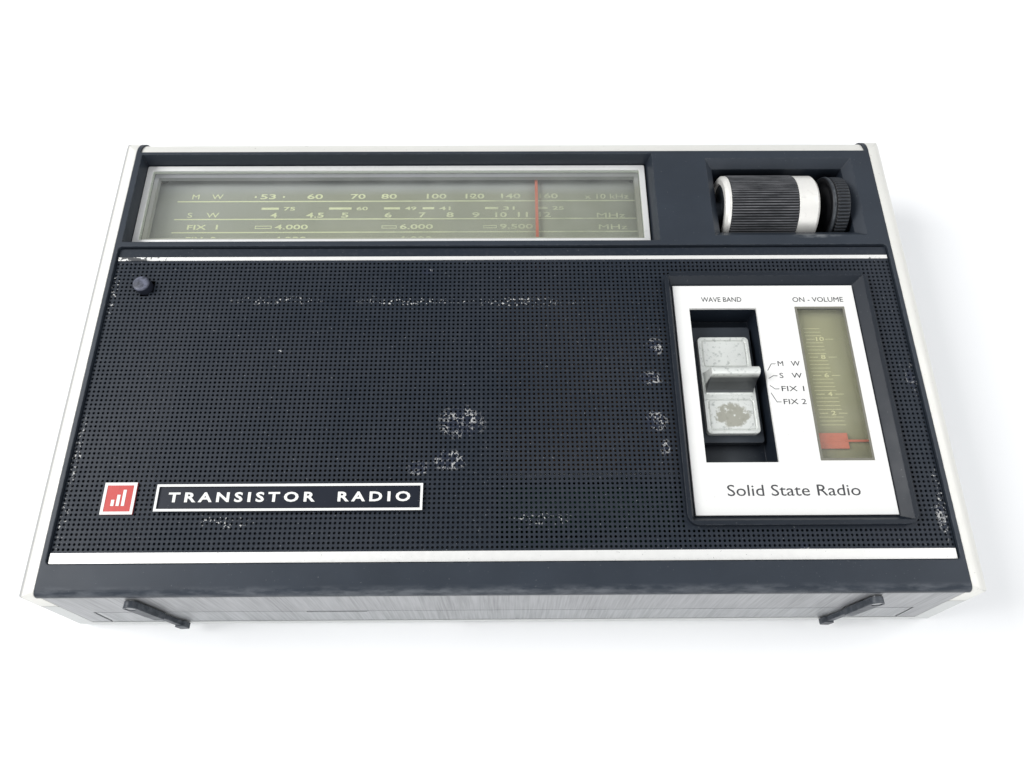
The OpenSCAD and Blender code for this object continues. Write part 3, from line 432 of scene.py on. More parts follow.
def slide_plating():
    """Plated slide: bright tiles, a shadowed slope under the ridge and a worn lower tile."""
    paint = Paint("slide_plating", (0.84, 0.86, 0.82), rough=0.3, metallic=0.4, specular=0.6)
    paint.soften(0.3)
    paint.tint(paint.patches(0.9, 6, 0.55, 0.68), (0.40, 0.43, 0.40), 0.7)
    worn = paint.both(paint.near([SLIDE_WORN_TILE]), 2.2)
    worn = paint.both(worn, paint.patches(0.45, 6, 0.34, 0.56))
    paint.tint(paint.span(worn, 0.25, 0.6), (0.37, 0.36, 0.29), 0.85)
    upper_v, lower_v = SLIDE_SLOPE
    below = paint.down(upper_v, upper_v + 0.5)
    above = paint.down(lower_v, lower_v - 0.5)
    raised = paint.along("Z", SLIDE_STEP, SLIDE_STEP + 0.4)
    slope = paint.both(paint.both(below, above), raised)
    paint.tint(slope, (0.028, 0.032, 0.036), 0.97)
    paint.gloss(paint.patches(0.5, 5, 0.4, 0.75), 0.44)
    paint.bump(paint.noise(0.8, 3), 0.012, 0.35)
    return paint.done()


def stripe_foil():
    """Bright foil, rubbed through to black near both ends."""
    paint = Paint("stripe_foil", (0.90, 0.89, 0.86), rough=0.3, metallic=0.35)
    x = paint.axis("X")
    ends = paint.math("MAXIMUM", paint.span(x, -84, -113, 0.0, 0.34), paint.span(x, 92, 113, 0.0, 0.17))
    upper = paint.down(60, 50)
    worn = paint.math("ADD", paint.both(ends, upper), paint.noise(0.35, 6))
    paint.tint(paint.span(worn, 0.74, 0.78), (0.03, 0.033, 0.04), 0.95)
    paint.tint(paint.patches(1.5, 4, 0.68, 0.72), (0.10, 0.10, 0.11), 0.7)
    paint.gloss(paint.patches(0.6, 4, 0.3, 0.7), 0.45)
    paint.bump(paint.noise(1.2, 3), 0.008, 0.4)
    return paint.done()


def dial_sheet():
    """Printed dial: greyer towards the upper left, olive towards the middle and right, with painted light on
    its upper part and a painted shadow along its top margin.
    """
    paint = Paint("dial_sheet", (0.375, 0.362, 0.305), rough=0.55, specular=0.3)
    left = paint.along("X", -50, -112)
    paint.tint(left, (0.50, 0.485, 0.50), 0.8)
    # Painted light: the upper part made paler where the window's recess shades it
    upper = paint.down(9.8, 6.8)
    paint.tint(upper, (0.50, 0.485, 0.53), 0.9)
    # Painted shadow along the top margin, under the window's upper wall
    margin = paint.down(6.2, 5.0)
    paint.tint(margin, (0.27, 0.265, 0.30), 0.9)
    lower = paint.down(18, 31)
    paint.tint(lower, (0.56, 0.54, 0.43), 0.6)
    right = paint.along("X", 0, 45)
    paint.tint(right, (0.215, 0.215, 0.20), 0.6)
    paint.tint(paint.patches(0.04, 4, 0.4, 0.7), (0.30, 0.30, 0.27), 0.25)
    paint.gloss(paint.patches(0.2, 3, 0.3, 0.7), 0.62)
    paint.bump(paint.noise(2.0, 3), 0.01, 0.3)
    return paint.done()


def volume_sheet():
    """Printed volume scale: olive, darker towards the bottom."""
    paint = Paint("volume_sheet", (0.39, 0.385, 0.270), rough=0.5, specular=0.3)
    lower = paint.down(75, 101)
    paint.tint(lower, (0.26, 0.25, 0.175), 0.7)
    paint.tint(paint.patches(0.2, 4, 0.4, 0.7), (0.42, 0.41, 0.30), 0.35)
    paint.gloss(paint.patches(0.4, 3, 0.3, 0.7), 0.6)
    paint.bump(paint.noise(2.0, 3), 0.01, 0.3)
    return paint.done()


def ink(name, color, worn=0.35):
    """Print, worn thin in patches."""
    paint = Paint(name, color, rough=0.6, specular=0.2)
    paint.tint(paint.patches(0.8, 4, 0.5, 0.75), shaded(color, 0.55), worn)
    paint.gloss(paint.patches(0.9, 3, 0.3, 0.7), 0.7)
    paint.bump(paint.noise(3.0, 2), 0.005, 0.3)
    return paint.done()


def fading_ink(name, color, faded):
    """Dial print that is worn and dusty towards the right."""
    paint = Paint(name, color, rough=0.6, specular=0.2)
    right = paint.along("X", -70, 20)
    worn = paint.math("ADD", right, paint.span(paint.noise(0.25, 5), 0.3, 0.8, -0.25, 0.35))
    paint.tint(paint.span(worn, 0.2, 1.1), faded, 0.85)
    paint.gloss(paint.patches(0.9, 3, 0.3, 0.7), 0.7)
    paint.bump(paint.noise(3.0, 2), 0.005, 0.3)
    return paint.done()


def white_enamel():
    """White control plate with faint stains and specks."""
    paint = Paint("white_enamel", (0.88, 0.875, 0.85), rough=0.38, specular=0.4)
    paint.soften(0.2)
    paint.tint(paint.patches(0.05, 4, 0.4, 0.75), (0.82, 0.81, 0.78), 0.5)
    paint.tint(paint.patches(1.2, 4, 0.69, 0.73), (0.45, 0.43, 0.38), 0.4)
    paint.gloss(paint.patches(0.3, 4, 0.3, 0.7), 0.48)
    paint.bump(paint.noise(1.8, 3), 0.008, 0.3)
    return paint.done()


def ribbed(name, color, crown, radius):
    """Black ribs turned about the knobs' axis: painted highlights in streaks on their crowns, painted shade
    in the valleys.
    """
    paint = Paint(name, color, rough=0.40, specular=0.45)
    paint.soften(0.08)
    far = paint.from_knob_axis()
    streaks = paint.patches(0.55, 6, 0.36, 0.66, stretch=(0.25, 1, 1))
    # Painted highlights in streaks on the rib crowns
    paint.tint(paint.both(paint.span(far, radius - 0.13, radius - 0.01), streaks), crown, 0.9)
    # Painted shade in the valleys between the ribs
    paint.tint(paint.span(far, radius - 0.16, radius - 0.42), (0.003, 0.003, 0.004), 0.95)
    paint.gloss(paint.patches(0.6, 4, 0.3, 0.7), 0.55)
    paint.bump(paint.noise(3.0, 3), 0.01, 0.5)
    return paint.done()


def gloss_red(name, color):
    """Glossy red of the badge and the pointers."""
    paint = Paint(name, color, rough=0.3, specular=0.5)
    paint.soften(0.1)
    paint.tint(paint.patches(0.6, 5, 0.55, 0.75), shaded(color, 0.6), 0.5)
    paint.gloss(paint.patches(0.5, 4, 0.3, 0.7), 0.42)
    paint.bump(paint.noise(2.0, 3), 0.006, 0.3)
    return paint.done()


def clear_window(name, color, haze):
    """Clear moulding: mostly see-through, with a gloss and a thin uneven haze."""
    material = bpy.data.materials.new(name)
    material.use_nodes = True
    tree = material.node_tree
    tree.nodes.clear()

    def add(kind, **values):
        node = tree.nodes.new(kind)
        for key, value in values.items():
            node.inputs[key.replace("_", " ")].default_value = value
        return node

    def mixed(factor, a, b):
        mix = add("ShaderNodeMixShader")
        if isinstance(factor, float):
            mix.inputs["Fac"].default_value = factor
        else:
            tree.links.new(factor, mix.inputs["Fac"])
        tree.links.new(a.outputs[0], mix.inputs[1])
        tree.links.new(b.outputs[0], mix.inputs[2])
        return mix

    output = add("ShaderNodeOutputMaterial")
    see_through = add("ShaderNodeBsdfTransparent", Color=(*color, 1))
    gloss = add("ShaderNodeBsdfGlossy", Roughness=0.09)
    dull = add("ShaderNodeBsdfDiffuse", Color=(0.75, 0.76, 0.72, 1))
    noise = add("ShaderNodeTexNoise", Scale=90, Detail=5)  # features to the metre
    amount = add("ShaderNodeMapRange", From_Min=0.35, From_Max=0.75, To_Min=haze * 0.4, To_Max=haze * 1.4)
    tree.links.new(add("ShaderNodeTexCoord").outputs["Object"], noise.inputs["Vector"])
    tree.links.new(noise.outputs["Fac"], amount.inputs["Value"])
    hazy = mixed(amount.outputs["Result"], see_through, dull)
    tree.links.new(mixed(0.055, hazy, gloss).outputs[0], output.inputs["Surface"])
    return material


def plain_part(name, color, rough, metallic=0.0):
    """Inner pieces: a base colour with mottling, wear and fine relief."""
    paint = Paint(name, color, rough=rough, metallic=metallic)
    paint.tint(paint.patches(0.25, 5, 0.35, 0.75), shaded(color, 0.72), 0.6)
    paint.gloss(paint.patches(0.5, 4, 0.3, 0.7), min(1.0, rough + 0.14))
    paint.bump(paint.noise(2.2, 3), 0.02, 0.4)
    return paint.done()


# ------------------------------------------------------------------ mesh tools


SAME_PLACE = 1e-7   # metres within which corners are joined
CAPITAL = 0.73      # height of a capital letter, as a share of the font's size


def new_object(name, mesh, body, material, smooth=False):
    """Puts a mesh in the scene as a piece that rides a body of the frame."""
    obj = bpy.data.objects.new(name, mesh)
    bpy.context.scene.collection.objects.link(obj)
    mesh.materials.append(material)
    for face in mesh.polygons:
        face.use_smooth = smooth
    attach(obj, body)
    return obj


def mesh_from(name, verts, faces):
    mesh = bpy.data.meshes.new(name)
    mesh.from_pydata([tuple(v) for v in verts], [], faces)
    mesh.validate()
    mesh.update()
    return mesh


class Shape:
    """Gathers the faces of one piece."""

    def __init__(self):
        self.verts = []
        self.faces = []

    def face(self, points):
        """Adds one face with corners of its own."""
        start = len(self.verts)
        self.verts.extend(points)
        self.faces.append(tuple(range(start, start + len(points))))

    def pad(self, x0, x1, v0, v1, z, thick=INK):
        """A thin raised rectangle, as printed or inlaid."""
        low = [at(x, v, z) for x, v in ((x0, v1), (x1, v1), (x1, v0), (x0, v0))]
        self.prism(low, Vector((0, 0, thick * MM)))

    def prism(self, low, rise):
        """A closed block between an outline and the same outline moved by rise, in metres."""
        high = [p + rise for p in low]
        self.face(high)
        self.face(list(reversed(low)))
        count = len(low)
        for i in range(count):
            j = (i + 1) % count
            self.face([low[i], low[j], high[j], high[i]])

    def line(self, a, b, width, z):
        """A thin raised line between two (x, drop) places."""
        along = Vector((b[0] - a[0], b[1] - a[1]))
        side = Vector((-along.y, along.x)).normalized() * width / 2
        corners = [(a[0] + side.x, a[1] + side.y), (a[0] - side.x, a[1] - side.y),
                   (b[0] - side.x, b[1] - side.y), (b[0] + side.x, b[1] + side.y)]
        self.prism([at(x, v, z) for x, v in corners], Vector((0, 0, INK * MM)))

    def frame(self, x0, x1, v0, v1, width, z, thick=INK):
        """A thin raised border of the given width, inside a rectangle."""
        self.pad(x0, x1, v0, v0 + width, z, thick)
        self.pad(x0, x1, v1 - width, v1, z, thick)
        self.pad(x0, x0 + width, v0 + width, v1 - width, z, thick)
        self.pad(x1 - width, x1, v0 + width, v1 - width, z, thick)

    def build(self, name, body, material, slot, smooth=False):
        """Joins coinciding corners, turns the faces outwards and makes the object."""
        mesh = mesh_from(name, self.verts, self.faces)
        work = bmesh.new()
        work.from_mesh(mesh)
        bmesh.ops.remove_doubles(work, verts=work.verts, dist=SAME_PLACE)
        bmesh.ops.recalc_face_normals(work, faces=work.faces)
        work.to_mesh(mesh)
        work.free()
        return new_object(name, mesh, body, material, smooth)


def lettering(items, height, z, bold=0.0, thick=INK, spread=1.0):
    """Faces of several words, each (words, middle x, middle drop, width); height is a capital letter's."""
    shape = Shape()
    for words, x, v, width in items:
        curve = bpy.data.curves.new("words", "FONT")
        curve.body = words
        curve.size = height / CAPITAL
        curve.align_x = "CENTER"
        curve.align_y = "CENTER"
        curve.resolution_u = 3
        curve.offset = bold
        curve.space_character = spread
        curve.extrude = thick / 2
        text = bpy.data.objects.new("words", curve)
        bpy.context.scene.collection.objects.link(text)
        bpy.context.view_layer.update()
        finished = text.evaluated_get(bpy.context.evaluated_depsgraph_get())
        mesh = bpy.data.meshes.new_from_object(finished)
        across = [vertex.co.x for vertex in mesh.vertices]
        centre = (max(across) + min(across)) / 2
        wide = width / (max(across) - min(across))
        middle = at(x, v, z + thick / 2)
        start = len(shape.verts)
        for vertex in mesh.vertices:
            place = Vector(((vertex.co.x - centre) * wide, vertex.co.y, vertex.co.z)) * MM
            shape.verts.append(middle + place)
        for polygon in mesh.polygons:
            shape.faces.append(tuple(start + i for i in polygon.vertices))
        bpy.data.objects.remove(text)
        bpy.data.curves.remove(curve)
        bpy.data.meshes.remove(mesh)
    return shape


def turned(profile, steps, valley):
    """A surface turned about the knobs' axis. profile is (x, radius); valley(x, k) lowers step k's radius."""
    shape = Shape()
    for x, radius in profile:
        for k in range(steps):
            angle = 2 * math.pi * k / steps
            r = radius - valley(x, k)
            shape.verts.append(at(x, KNOB_V - r * math.cos(angle), KNOB_Z + r * math.sin(angle)))
    for i in range(len(profile) - 1):
        a = i * steps
        b = a + steps
        for k in range(steps):
            j = (k + 1) % steps
            shape.faces.append((a + k, a + j, b + j, b + k))
    return shape


# ------------------------------------------------------------------ grille


PITCH = 1.25
HOLE_RADIUS = 0.40
HOLE_SIDES = 6
HOLE_DEPTH = 0.55
GRILLE_COLUMNS = 182
GRILLE_ROWS = 67
FIRST_ROW_V = 39.55   # upper edge of the first row of cells
GRILLE_END_V = 126.4
BUTTON_OPENING = (-104.2, 47.7, 2.7)  # x, drop, radius


def add_cell(shape, x, v, a, b, c, d):
    """A cell's face round a six-sided hole, and the hole's wall. Corners a to d start at the lower left."""
    start = len(shape.verts)
    turns = [2 * math.pi * k / HOLE_SIDES for k in range(HOLE_SIDES)]
    ring = [(x + HOLE_RADIUS * math.cos(t), v - HOLE_RADIUS * math.sin(t)) for t in turns]
    shape.verts.extend(at(px, pv, panel_face) for px, pv in ring)
    shape.verts.extend(at(px, pv, panel_face - HOLE_DEPTH) for px, pv in ring)
    h = [start + k for k in range(HOLE_SIDES)]
    shape.faces.extend([(c, h[1], h[0]), (b, c, h[0]), (b, h[0], h[5]), (a, b, h[5], h[4]),
                        (a, h[4], h[3]), (d, a, h[3]), (d, h[3], h[2]), (c, d, h[2], h[1])])
    for k in range(HOLE_SIDES):
        n = (k + 1) % HOLE_SIDES
        shape.faces.append((h[k], h[n], h[n] + HOLE_SIDES, h[k] + HOLE_SIDES))


def perforated_grille():
    """The whole perforated sheet: a square grid of cells, each with a round-looking hole."""
    half_w = footprint("grille_panel")[1]
    solid = [grown(footprint(name), 0.2) for name in ("control_bezel", "badge", "nameplate")]
    cut = grown(footprint("control_bezel"), -0.7)
    button_x, button_v, button_r = BUTTON_OPENING
    left = -GRILLE_COLUMNS * PITCH / 2
    xs = [-half_w] + [left + PITCH * i for i in range(1, GRILLE_COLUMNS)] + [half_w]
    vs = [PANEL_DROP] + [FIRST_ROW_V + PITCH * j for j in range(GRILLE_ROWS + 1)] + [GRILLE_END_V]
    shape = Shape()
    index = {}

    def corner(i, j):
        if (i, j) not in index:
            index[i, j] = len(shape.verts)
            shape.verts.append(at(xs[i], vs[j], panel_face))
        return index[i, j]

    for j in range(len(vs) - 1):
        at_edge = j in (0, len(vs) - 2)
        for i in range(len(xs) - 1):
            x = left + PITCH * (i + 0.5)
            v = (vs[j] + vs[j + 1]) / 2
            if within(cut, x, v) or math.hypot(x - button_x, v - button_v) < button_r:
                continue
            a, b = corner(i, j + 1), corner(i + 1, j + 1)
            c, d = corner(i + 1, j), corner(i, j)
            if at_edge or any(within(area, x, v) for area in solid):
                shape.faces.append((a, b, c, d))
            else:
                add_cell(shape, x, v, a, b, c, d)
    mesh = mesh_from("grille_sheet", shape.verts, shape.faces)
    sheet = new_object("grille_sheet", mesh, "case", materials["grille"])
    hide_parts("grille_panel")


# ------------------------------------------------------------------ printed matter


def dial_print():
    """Numbers, station bars and rules of the dial. The station numbers are round, generic ones."""
    z = upper_face("dial_scale") + PRINT_LIFT
    ink_look = materials["dial_ink"]
    medium_v, metres_v, short_v, fixed_v, last_v = 10.2, 14.8, 17.3, 21.7, 26.2
    # Words with their middle and width
    medium = [("53", -75.5, 4.9), ("60", -60.5, 5.0), ("70", -46.7, 4.7), ("80", -36.8, 5.0),
              ("100", -21.6, 6.3), ("120", -9.3, 6.0), ("140", 2.2, 6.2), ("160", 14.3, 6.0)]
    short = [("4", -72.9, 2.1), ("4.5", -59.9, 5.6), ("5", -50.4, 2.3), ("6", -36.7, 2.3),
             ("7", -25.9, 2.1), ("8", -17.1, 2.3), ("9", -8.9, 2.3), ("10", -0.9, 3.6), ("11", 6, 3.2),
             ("12", 13, 3.8)]
    # Bars with their left end and width, and the words to the right of each
    metre_bands = [(-77.1, 5.5, "75"), (-55.7, 7.2, "60"), (-38.2, 5.1, "49"), (-25.9, 3.7, "41"),
                   (-6, 4.2, "31"), (11, 2.9, "25")]
    fixed = [(-78.3, 5.2, "4.000"), (-38.5, 4.7, "6.000"), (-6.5, 4.2, "9.500")]
    units = [("M    W", -94.8, 10.2, 9.8), ("S    W", -95.2, 17.2, 10), ("x 10 kHz", 33, 10.4, 14),
             ("MHz", 34, 17.6, 9), ("MHz", 34.4, 22, 9)]

    numbers = [(t, x, medium_v, w) for t, x, w in medium] + [(t, x, short_v, w) for t, x, w in short]
    band_numbers = [(t, x + w + 3.4, metres_v, 3.6) for x, w, t in metre_bands]
    fixed_rows = [(t, x + w + 6.2, fixed_v, 10.4) for x, w, t in fixed]
    fixed_rows += [("FIX  1", -94.8, fixed_v, 9.6), ("FIX  2", -94.6, last_v, 9.6),
                   ("4.000", -66.9, last_v, 10.2), ("6.000", -27.6, last_v, 10.2)]

    rule_vs, rule_start, rule_end = (11.95, 18.7, 23.6), -104.2, 42
    dot_xs = (-79.5, -70.5, -10.6)
    rules = Shape()
    for v in rule_vs:
        rules.pad(rule_start, rule_end, v - 0.2, v + 0.2, z)
    for x, w, _ in metre_bands:
        rules.pad(x, x + w, 14.3, 15.1, z)
    for x, w, _ in fixed:
        rules.frame(x, x + w, 21.15, 22.25, 0.22, z)
    for x in dot_xs:
        rules.pad(x - 0.3, x + 0.3, 9.9, 10.5, z)
    rules.build("dial_rules", "case", ink_look, "olive_print")
    lettering(numbers, 1.85, z, bold=0.04).build("dial_numbers", "case", ink_look, "olive_print")
    lettering(band_numbers, 1.3, z, bold=0.03).build("dial_band_numbers", "case", ink_look, "olive_print")
    lettering(fixed_rows, 1.75, z, bold=0.04).build("dial_fixed_rows", "case", ink_look, "olive_print")
    lettering(units, 1.9, z).build("dial_units", "case", ink_look, "olive_print")


def dial_cove():
    """Printed margin under the window: flat on the cabinet's ledge, then down the wall of its opening."""
    x0, x1, v0, v1 = footprint("dial_frame")
    top_z = lower_face("dial_frame") + 0.02
    low_z = top_z - 1.6
    # How far the margin's outer rim, the wall and the sleeve's inner side lie inside the frame's rim
    outer, opening, sleeve = 1.8, 3.12, 3.17
    rings = [(outer, top_z), (sleeve, top_z), (sleeve, low_z), (opening, low_z), (opening, top_z - 0.01),
             (outer, top_z - 0.01)]
    cove = Shape()
    for inset, z in rings:
        corners = [(x0 + inset, v0 + inset), (x1 - inset, v0 + inset), (x1 - inset, v1 - inset),
                   (x0 + inset, v1 - inset)]
        cove.verts.extend(at(x, v, z) for x, v in corners)
    for i in range(len(rings)):
        n = (i + 1) % len(rings)
        for k in range(4):
            j = (k + 1) % 4
            cove.faces.append((4 * i + k, 4 * i + j, 4 * n + j, 4 * n + k))
    cove.build("dial_cove", "case", materials["dial"], "olive_print")


def volume_print():
    """Level marks that widen downwards, with a number on every fifth, and the window's rim."""
    z = upper_face("volume_scale") + PRINT_LIFT
    ink_look = materials["volume_ink"]
    first_v, pitch, steps = 60.5, 1.125, 26
    numbered = range(3, steps, 5)
    number_x = 90.6
    beside_number = ((86.7, 89.1), (92.1, 94.4))
    mark_start, shortest_end, widening = 86.4, 90.95, 2.4
    marks = Shape()
    for k in range(steps + 1):
        v = first_v + pitch * k
        if k in numbered:
            for start, end in beside_number:
                marks.pad(start, end, v - 0.09, v + 0.09, z)
        else:
            marks.pad(mark_start, shortest_end + widening * k / steps, v - 0.07, v + 0.07, z)
    marks.build("volume_marks", "case", ink_look, "olive_print")
    numbers = [(str(10 - 2 * i), number_x, first_v + pitch * k, 2.3 if i == 0 else 1.3)
               for i, k in enumerate(numbered)]
    lettering(numbers, 1.3, z, bold=0.03).build("volume_numbers", "case", ink_look, "olive_print")
    rim = Shape()
    rim.frame(*footprint("volume_lens"), 0.55, upper_face("volume_lens") + 0.01)
    rim.build("volume_lens_rim", "case", materials["lens_rim"], "olive_print")


def plate_print():
    """Captions, band labels with their leader lines, and the title of the control plate."""
    z = upper_face("control_plate") + PRINT_LIFT
    ink_look = materials["plate_ink"]
    captions = [("WAVE BAND", 62.7, 52.6, 11.6), ("ON - VOLUME", 90.6, 52.7, 14.6)]
    labels = [("M   W", 72.8), ("S   W", 76.4), ("FIX 1", 80.3), ("FIX 2", 84.1)]
    label_words = [(t, 79.2, v, 6.2) for t, v in labels]
    title = [("Solid State Radio", 75.1, 108.7, 34.6)]
    lettering(captions, 1.6, z).build("plate_captions", "case", ink_look, "white_plastic")
    lettering(label_words, 1.6, z).build("plate_labels", "case", ink_look, "white_plastic")
    lettering(title, 3.1, z).build("plate_title", "case", ink_look, "white_plastic")
    slot_x, bend_x, label_x = 73.0, 74.3, 75.5
    slide_stops = (74.8, 77.2, 79.2, 81.4)
    leaders = Shape()
    for stop_v, (_, label_v) in zip(slide_stops, labels):
        leaders.line((slot_x, stop_v), (bend_x, label_v), 0.17, z)
        leaders.line((bend_x - 0.05, label_v), (label_x, label_v), 0.17, z)
    leaders.build("plate_leaders", "case", ink_look, "white_plastic")


def nameplate_print():
    """Generic words inside a bright rim."""
    x0, x1, v0, v1 = footprint("nameplate")
    rim_face = upper_face("nameplate")
    sunk_face = rim_face - 0.3 + PRINT_LIFT
    words = [("TRANSISTOR  RADIO", (x0 + x1) / 2, (v0 + v1) / 2, x1 - x0 - 6.4)]
    letters = lettering(words, 2.5, sunk_face, bold=0.10, thick=0.15, spread=1.45)
    letters.build("nameplate_letters", "case", materials["bright_ink"], "chrome_trim")
    rim = Shape()
    rim.frame(x0, x1, v0, v1, 0.62, rim_face + 0.005, 0.1)
    rim.build("nameplate_rim", "case", materials["bright_ink"], "chrome_trim")


def badge_print():
    """White border and three rising bars on the red badge."""
    x0, x1, v0, v1 = footprint("badge")
    z = upper_face("badge") + 0.005
    thick = 0.08
    bar_width, bar_pitch, first_height, rise = 0.8, 1.35, 1.6, 1.3
    mark = Shape()
    mark.frame(x0, x1, v0, v1, 0.75, z, thick)
    base = v1 - 2.2
    for k in range(3):
        x = x0 + 2.35 + bar_pitch * k
        mark.pad(x, x + bar_width, base - first_height - rise * k, base, z, thick)
    mark.build("badge_mark", "case", materials["bright_ink"], "red_plastic")


# ------------------------------------------------------------------ knobs


def rib_crown(k, steps_per_rib, sharpness):
    """How far step k stands out, from 0 in a valley between ribs to 1 on a crown."""
    phase = (k % steps_per_rib) / steps_per_rib
    return abs(math.sin(math.pi * phase)) ** sharpness


def ribbed_sleeve():
    """Rubber sleeve with close rounded ribs along it."""
    x0, x1 = footprint("knob_sleeve")[:2]
    radius = half_height("knob_sleeve")
    ribs, steps_per_rib, depth = 84, 8, 0.62
    inner = radius - 0.9
    chamfer = [(0, radius - 0.35), (0.12, radius - 0.12)]
    shoulder, rings = 0.4, 6

    def valley(x, k):
        fade = min(1.0, (x - x0) / 0.6, (x1 - x) / 0.6)
        return depth * (1 - rib_crown(k, steps_per_rib, 0.55)) * (0.35 + 0.65 * fade)

    profile = [(x0, inner)] + [(x0 + dx, r) for dx, r in chamfer] + [(x0 + shoulder, radius)]
    profile += [(x0 + shoulder + (x1 - x0 - 2 * shoulder) * k / rings, radius) for k in range(1, rings + 1)]
    profile += [(x1 - dx, r) for dx, r in reversed(chamfer)] + [(x1, inner)]
    sleeve = turned(profile, ribs * steps_per_rib, valley).build(
        "ribbed_sleeve", "tuning_knob", materials["rubber"], "rubber_sleeve", smooth=True)
    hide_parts("knob_sleeve")


def knurled_wheel():
    """Volume wheel: a smooth raised rim on the left, a groove, a knurled band, and its spindle."""
    x0, spindle_end = footprint("volume_wheel")[:2]
    radius = half_height("volume_wheel")
    x1 = x0 + 5.7
    spindle_r = 1.5
    knurls, steps_per_knurl, depth = 60, 8, 0.5
    band_start, band_length, band_rings = x0 + 1.75, 3.2, 4

    def valley(x, k):
        if not x0 + 1.7 < x < x1 - 0.5:
            return 0
        return depth * (1 - rib_crown(k, steps_per_knurl, 0.6))

    left_face = [(0, radius - 3.4), (0.5, radius - 3.0), (0.6, radius - 1.9), (0, radius - 1.5)]
    raised_rim = [(0, radius - 0.5), (0.25, radius - 0.12), (0.7, radius), (1.15, radius - 0.15)]
    groove = [(1.35, radius - 0.55), (1.6, radius - 0.6)]
    profile = [(x0, spindle_r)] + [(x0 + dx, r) for dx, r in left_face + raised_rim + groove]
    profile += [(band_start, radius - 0.15)]
    profile += [(band_start + band_length * k / band_rings, radius - 0.1) for k in range(1, band_rings + 1)]
    profile += [(x1 - 0.45, radius - 0.2), (x1, radius - 0.8), (x1, spindle_r), (spindle_end, spindle_r),
                (spindle_end, 0.02)]
    wheel = turned(profile, knurls * steps_per_knurl, valley).build(
        "knurled_wheel", "volume_knob", materials["wheel"], "black_plastic", smooth=True)
    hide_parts("volume_wheel")


# ------------------------------------------------------------------ stage


FLOOR_REACH = 3.0  # metres to each side

# Soft lamps in metres and watts: name, place, aim, power, width
LAMPS = [
    ("key", (-1.05, 0.15, 0.90), (0, 0, 0), 15, 0.7),
    ("fill", (1.05, 0.20, 0.80), (0, 0, 0), 5, 0.7),
    ("front", (0.0, -1.00, 0.60), (0, -0.05, 0), 5, 0.8),
]


def pale_floor():
    """Plain pale paper that the radio lies on."""
    corners = [(x * FLOOR_REACH, y * FLOOR_REACH, 0) for x, y in ((-1, -1), (1, -1), (1, 1), (-1, 1))]
    mesh = mesh_from("floor", corners, [(0, 1, 2, 3)])
    floor = bpy.data.objects.new("floor", mesh)
    bpy.context.scene.collection.objects.link(floor)
    paint = Paint("floor_paper", (0.96, 0.96, 0.96), rough=0.7, specular=0.2)
    paint.tint(paint.patches(0.01, 3, 0.3, 0.8), (0.93, 0.935, 0.94), 0.5)
    mesh.materials.append(paint.done())


def soft_light():
    """A faintly blue room and three large lamps."""
    world = bpy.data.worlds.new("room")
    bpy.context.scene.world = world
    world.use_nodes = True
    background = world.node_tree.nodes["Background"]
    background.inputs["Color"].default_value = (0.93, 0.96, 1.0, 1)
    background.inputs["Strength"].default_value = 0.50
    for name, place, aim, power, width in LAMPS:
        light = bpy.data.lights.new(name, "AREA")
        light.energy = power
        light.size = width
        lamp = bpy.data.objects.new(name, light)
        lamp.location = place
        lamp.rotation_euler = (Vector(aim) - Vector(place)).to_track_quat("-Z", "Y").to_euler()
        bpy.context.scene.collection.objects.link(lamp)
    bpy.context.scene.view_settings.view_transform = "Standard"


def camera():
    """The viewing place: above the lower part of the front, looking down at it."""
    elevation = math.radians(68.13)
    yaw = math.radians(0.907)
    roll = math.radians(-0.58)
    place = at(0.98, 151.4, FRONT + 180.8)
    data = bpy.data.cameras.new("view")
    data.sensor_width = 36
    data.lens = 25.06
    data.clip_start = 0.01
    forward = Vector((math.sin(yaw) * math.cos(elevation), math.cos(yaw) * math.cos(elevation),
                      -math.sin(elevation)))
    right = Vector((math.cos(yaw), -math.sin(yaw), 0))
    down = forward.cross(right)
    turned_right = right * math.cos(roll) + down * math.sin(roll)
    turned_down = down * math.cos(roll) - right * math.sin(roll)
    rotation = Matrix((turned_right, -turned_down, -forward)).transposed()
    view = bpy.data.objects.new("view", data)
    view.matrix_world = Matrix.Translation(place) @ rotation.to_4x4()
    bpy.context.scene.collection.objects.link(view)
    bpy.context.scene.camera = view


# ------------------------------------------------------------------ build


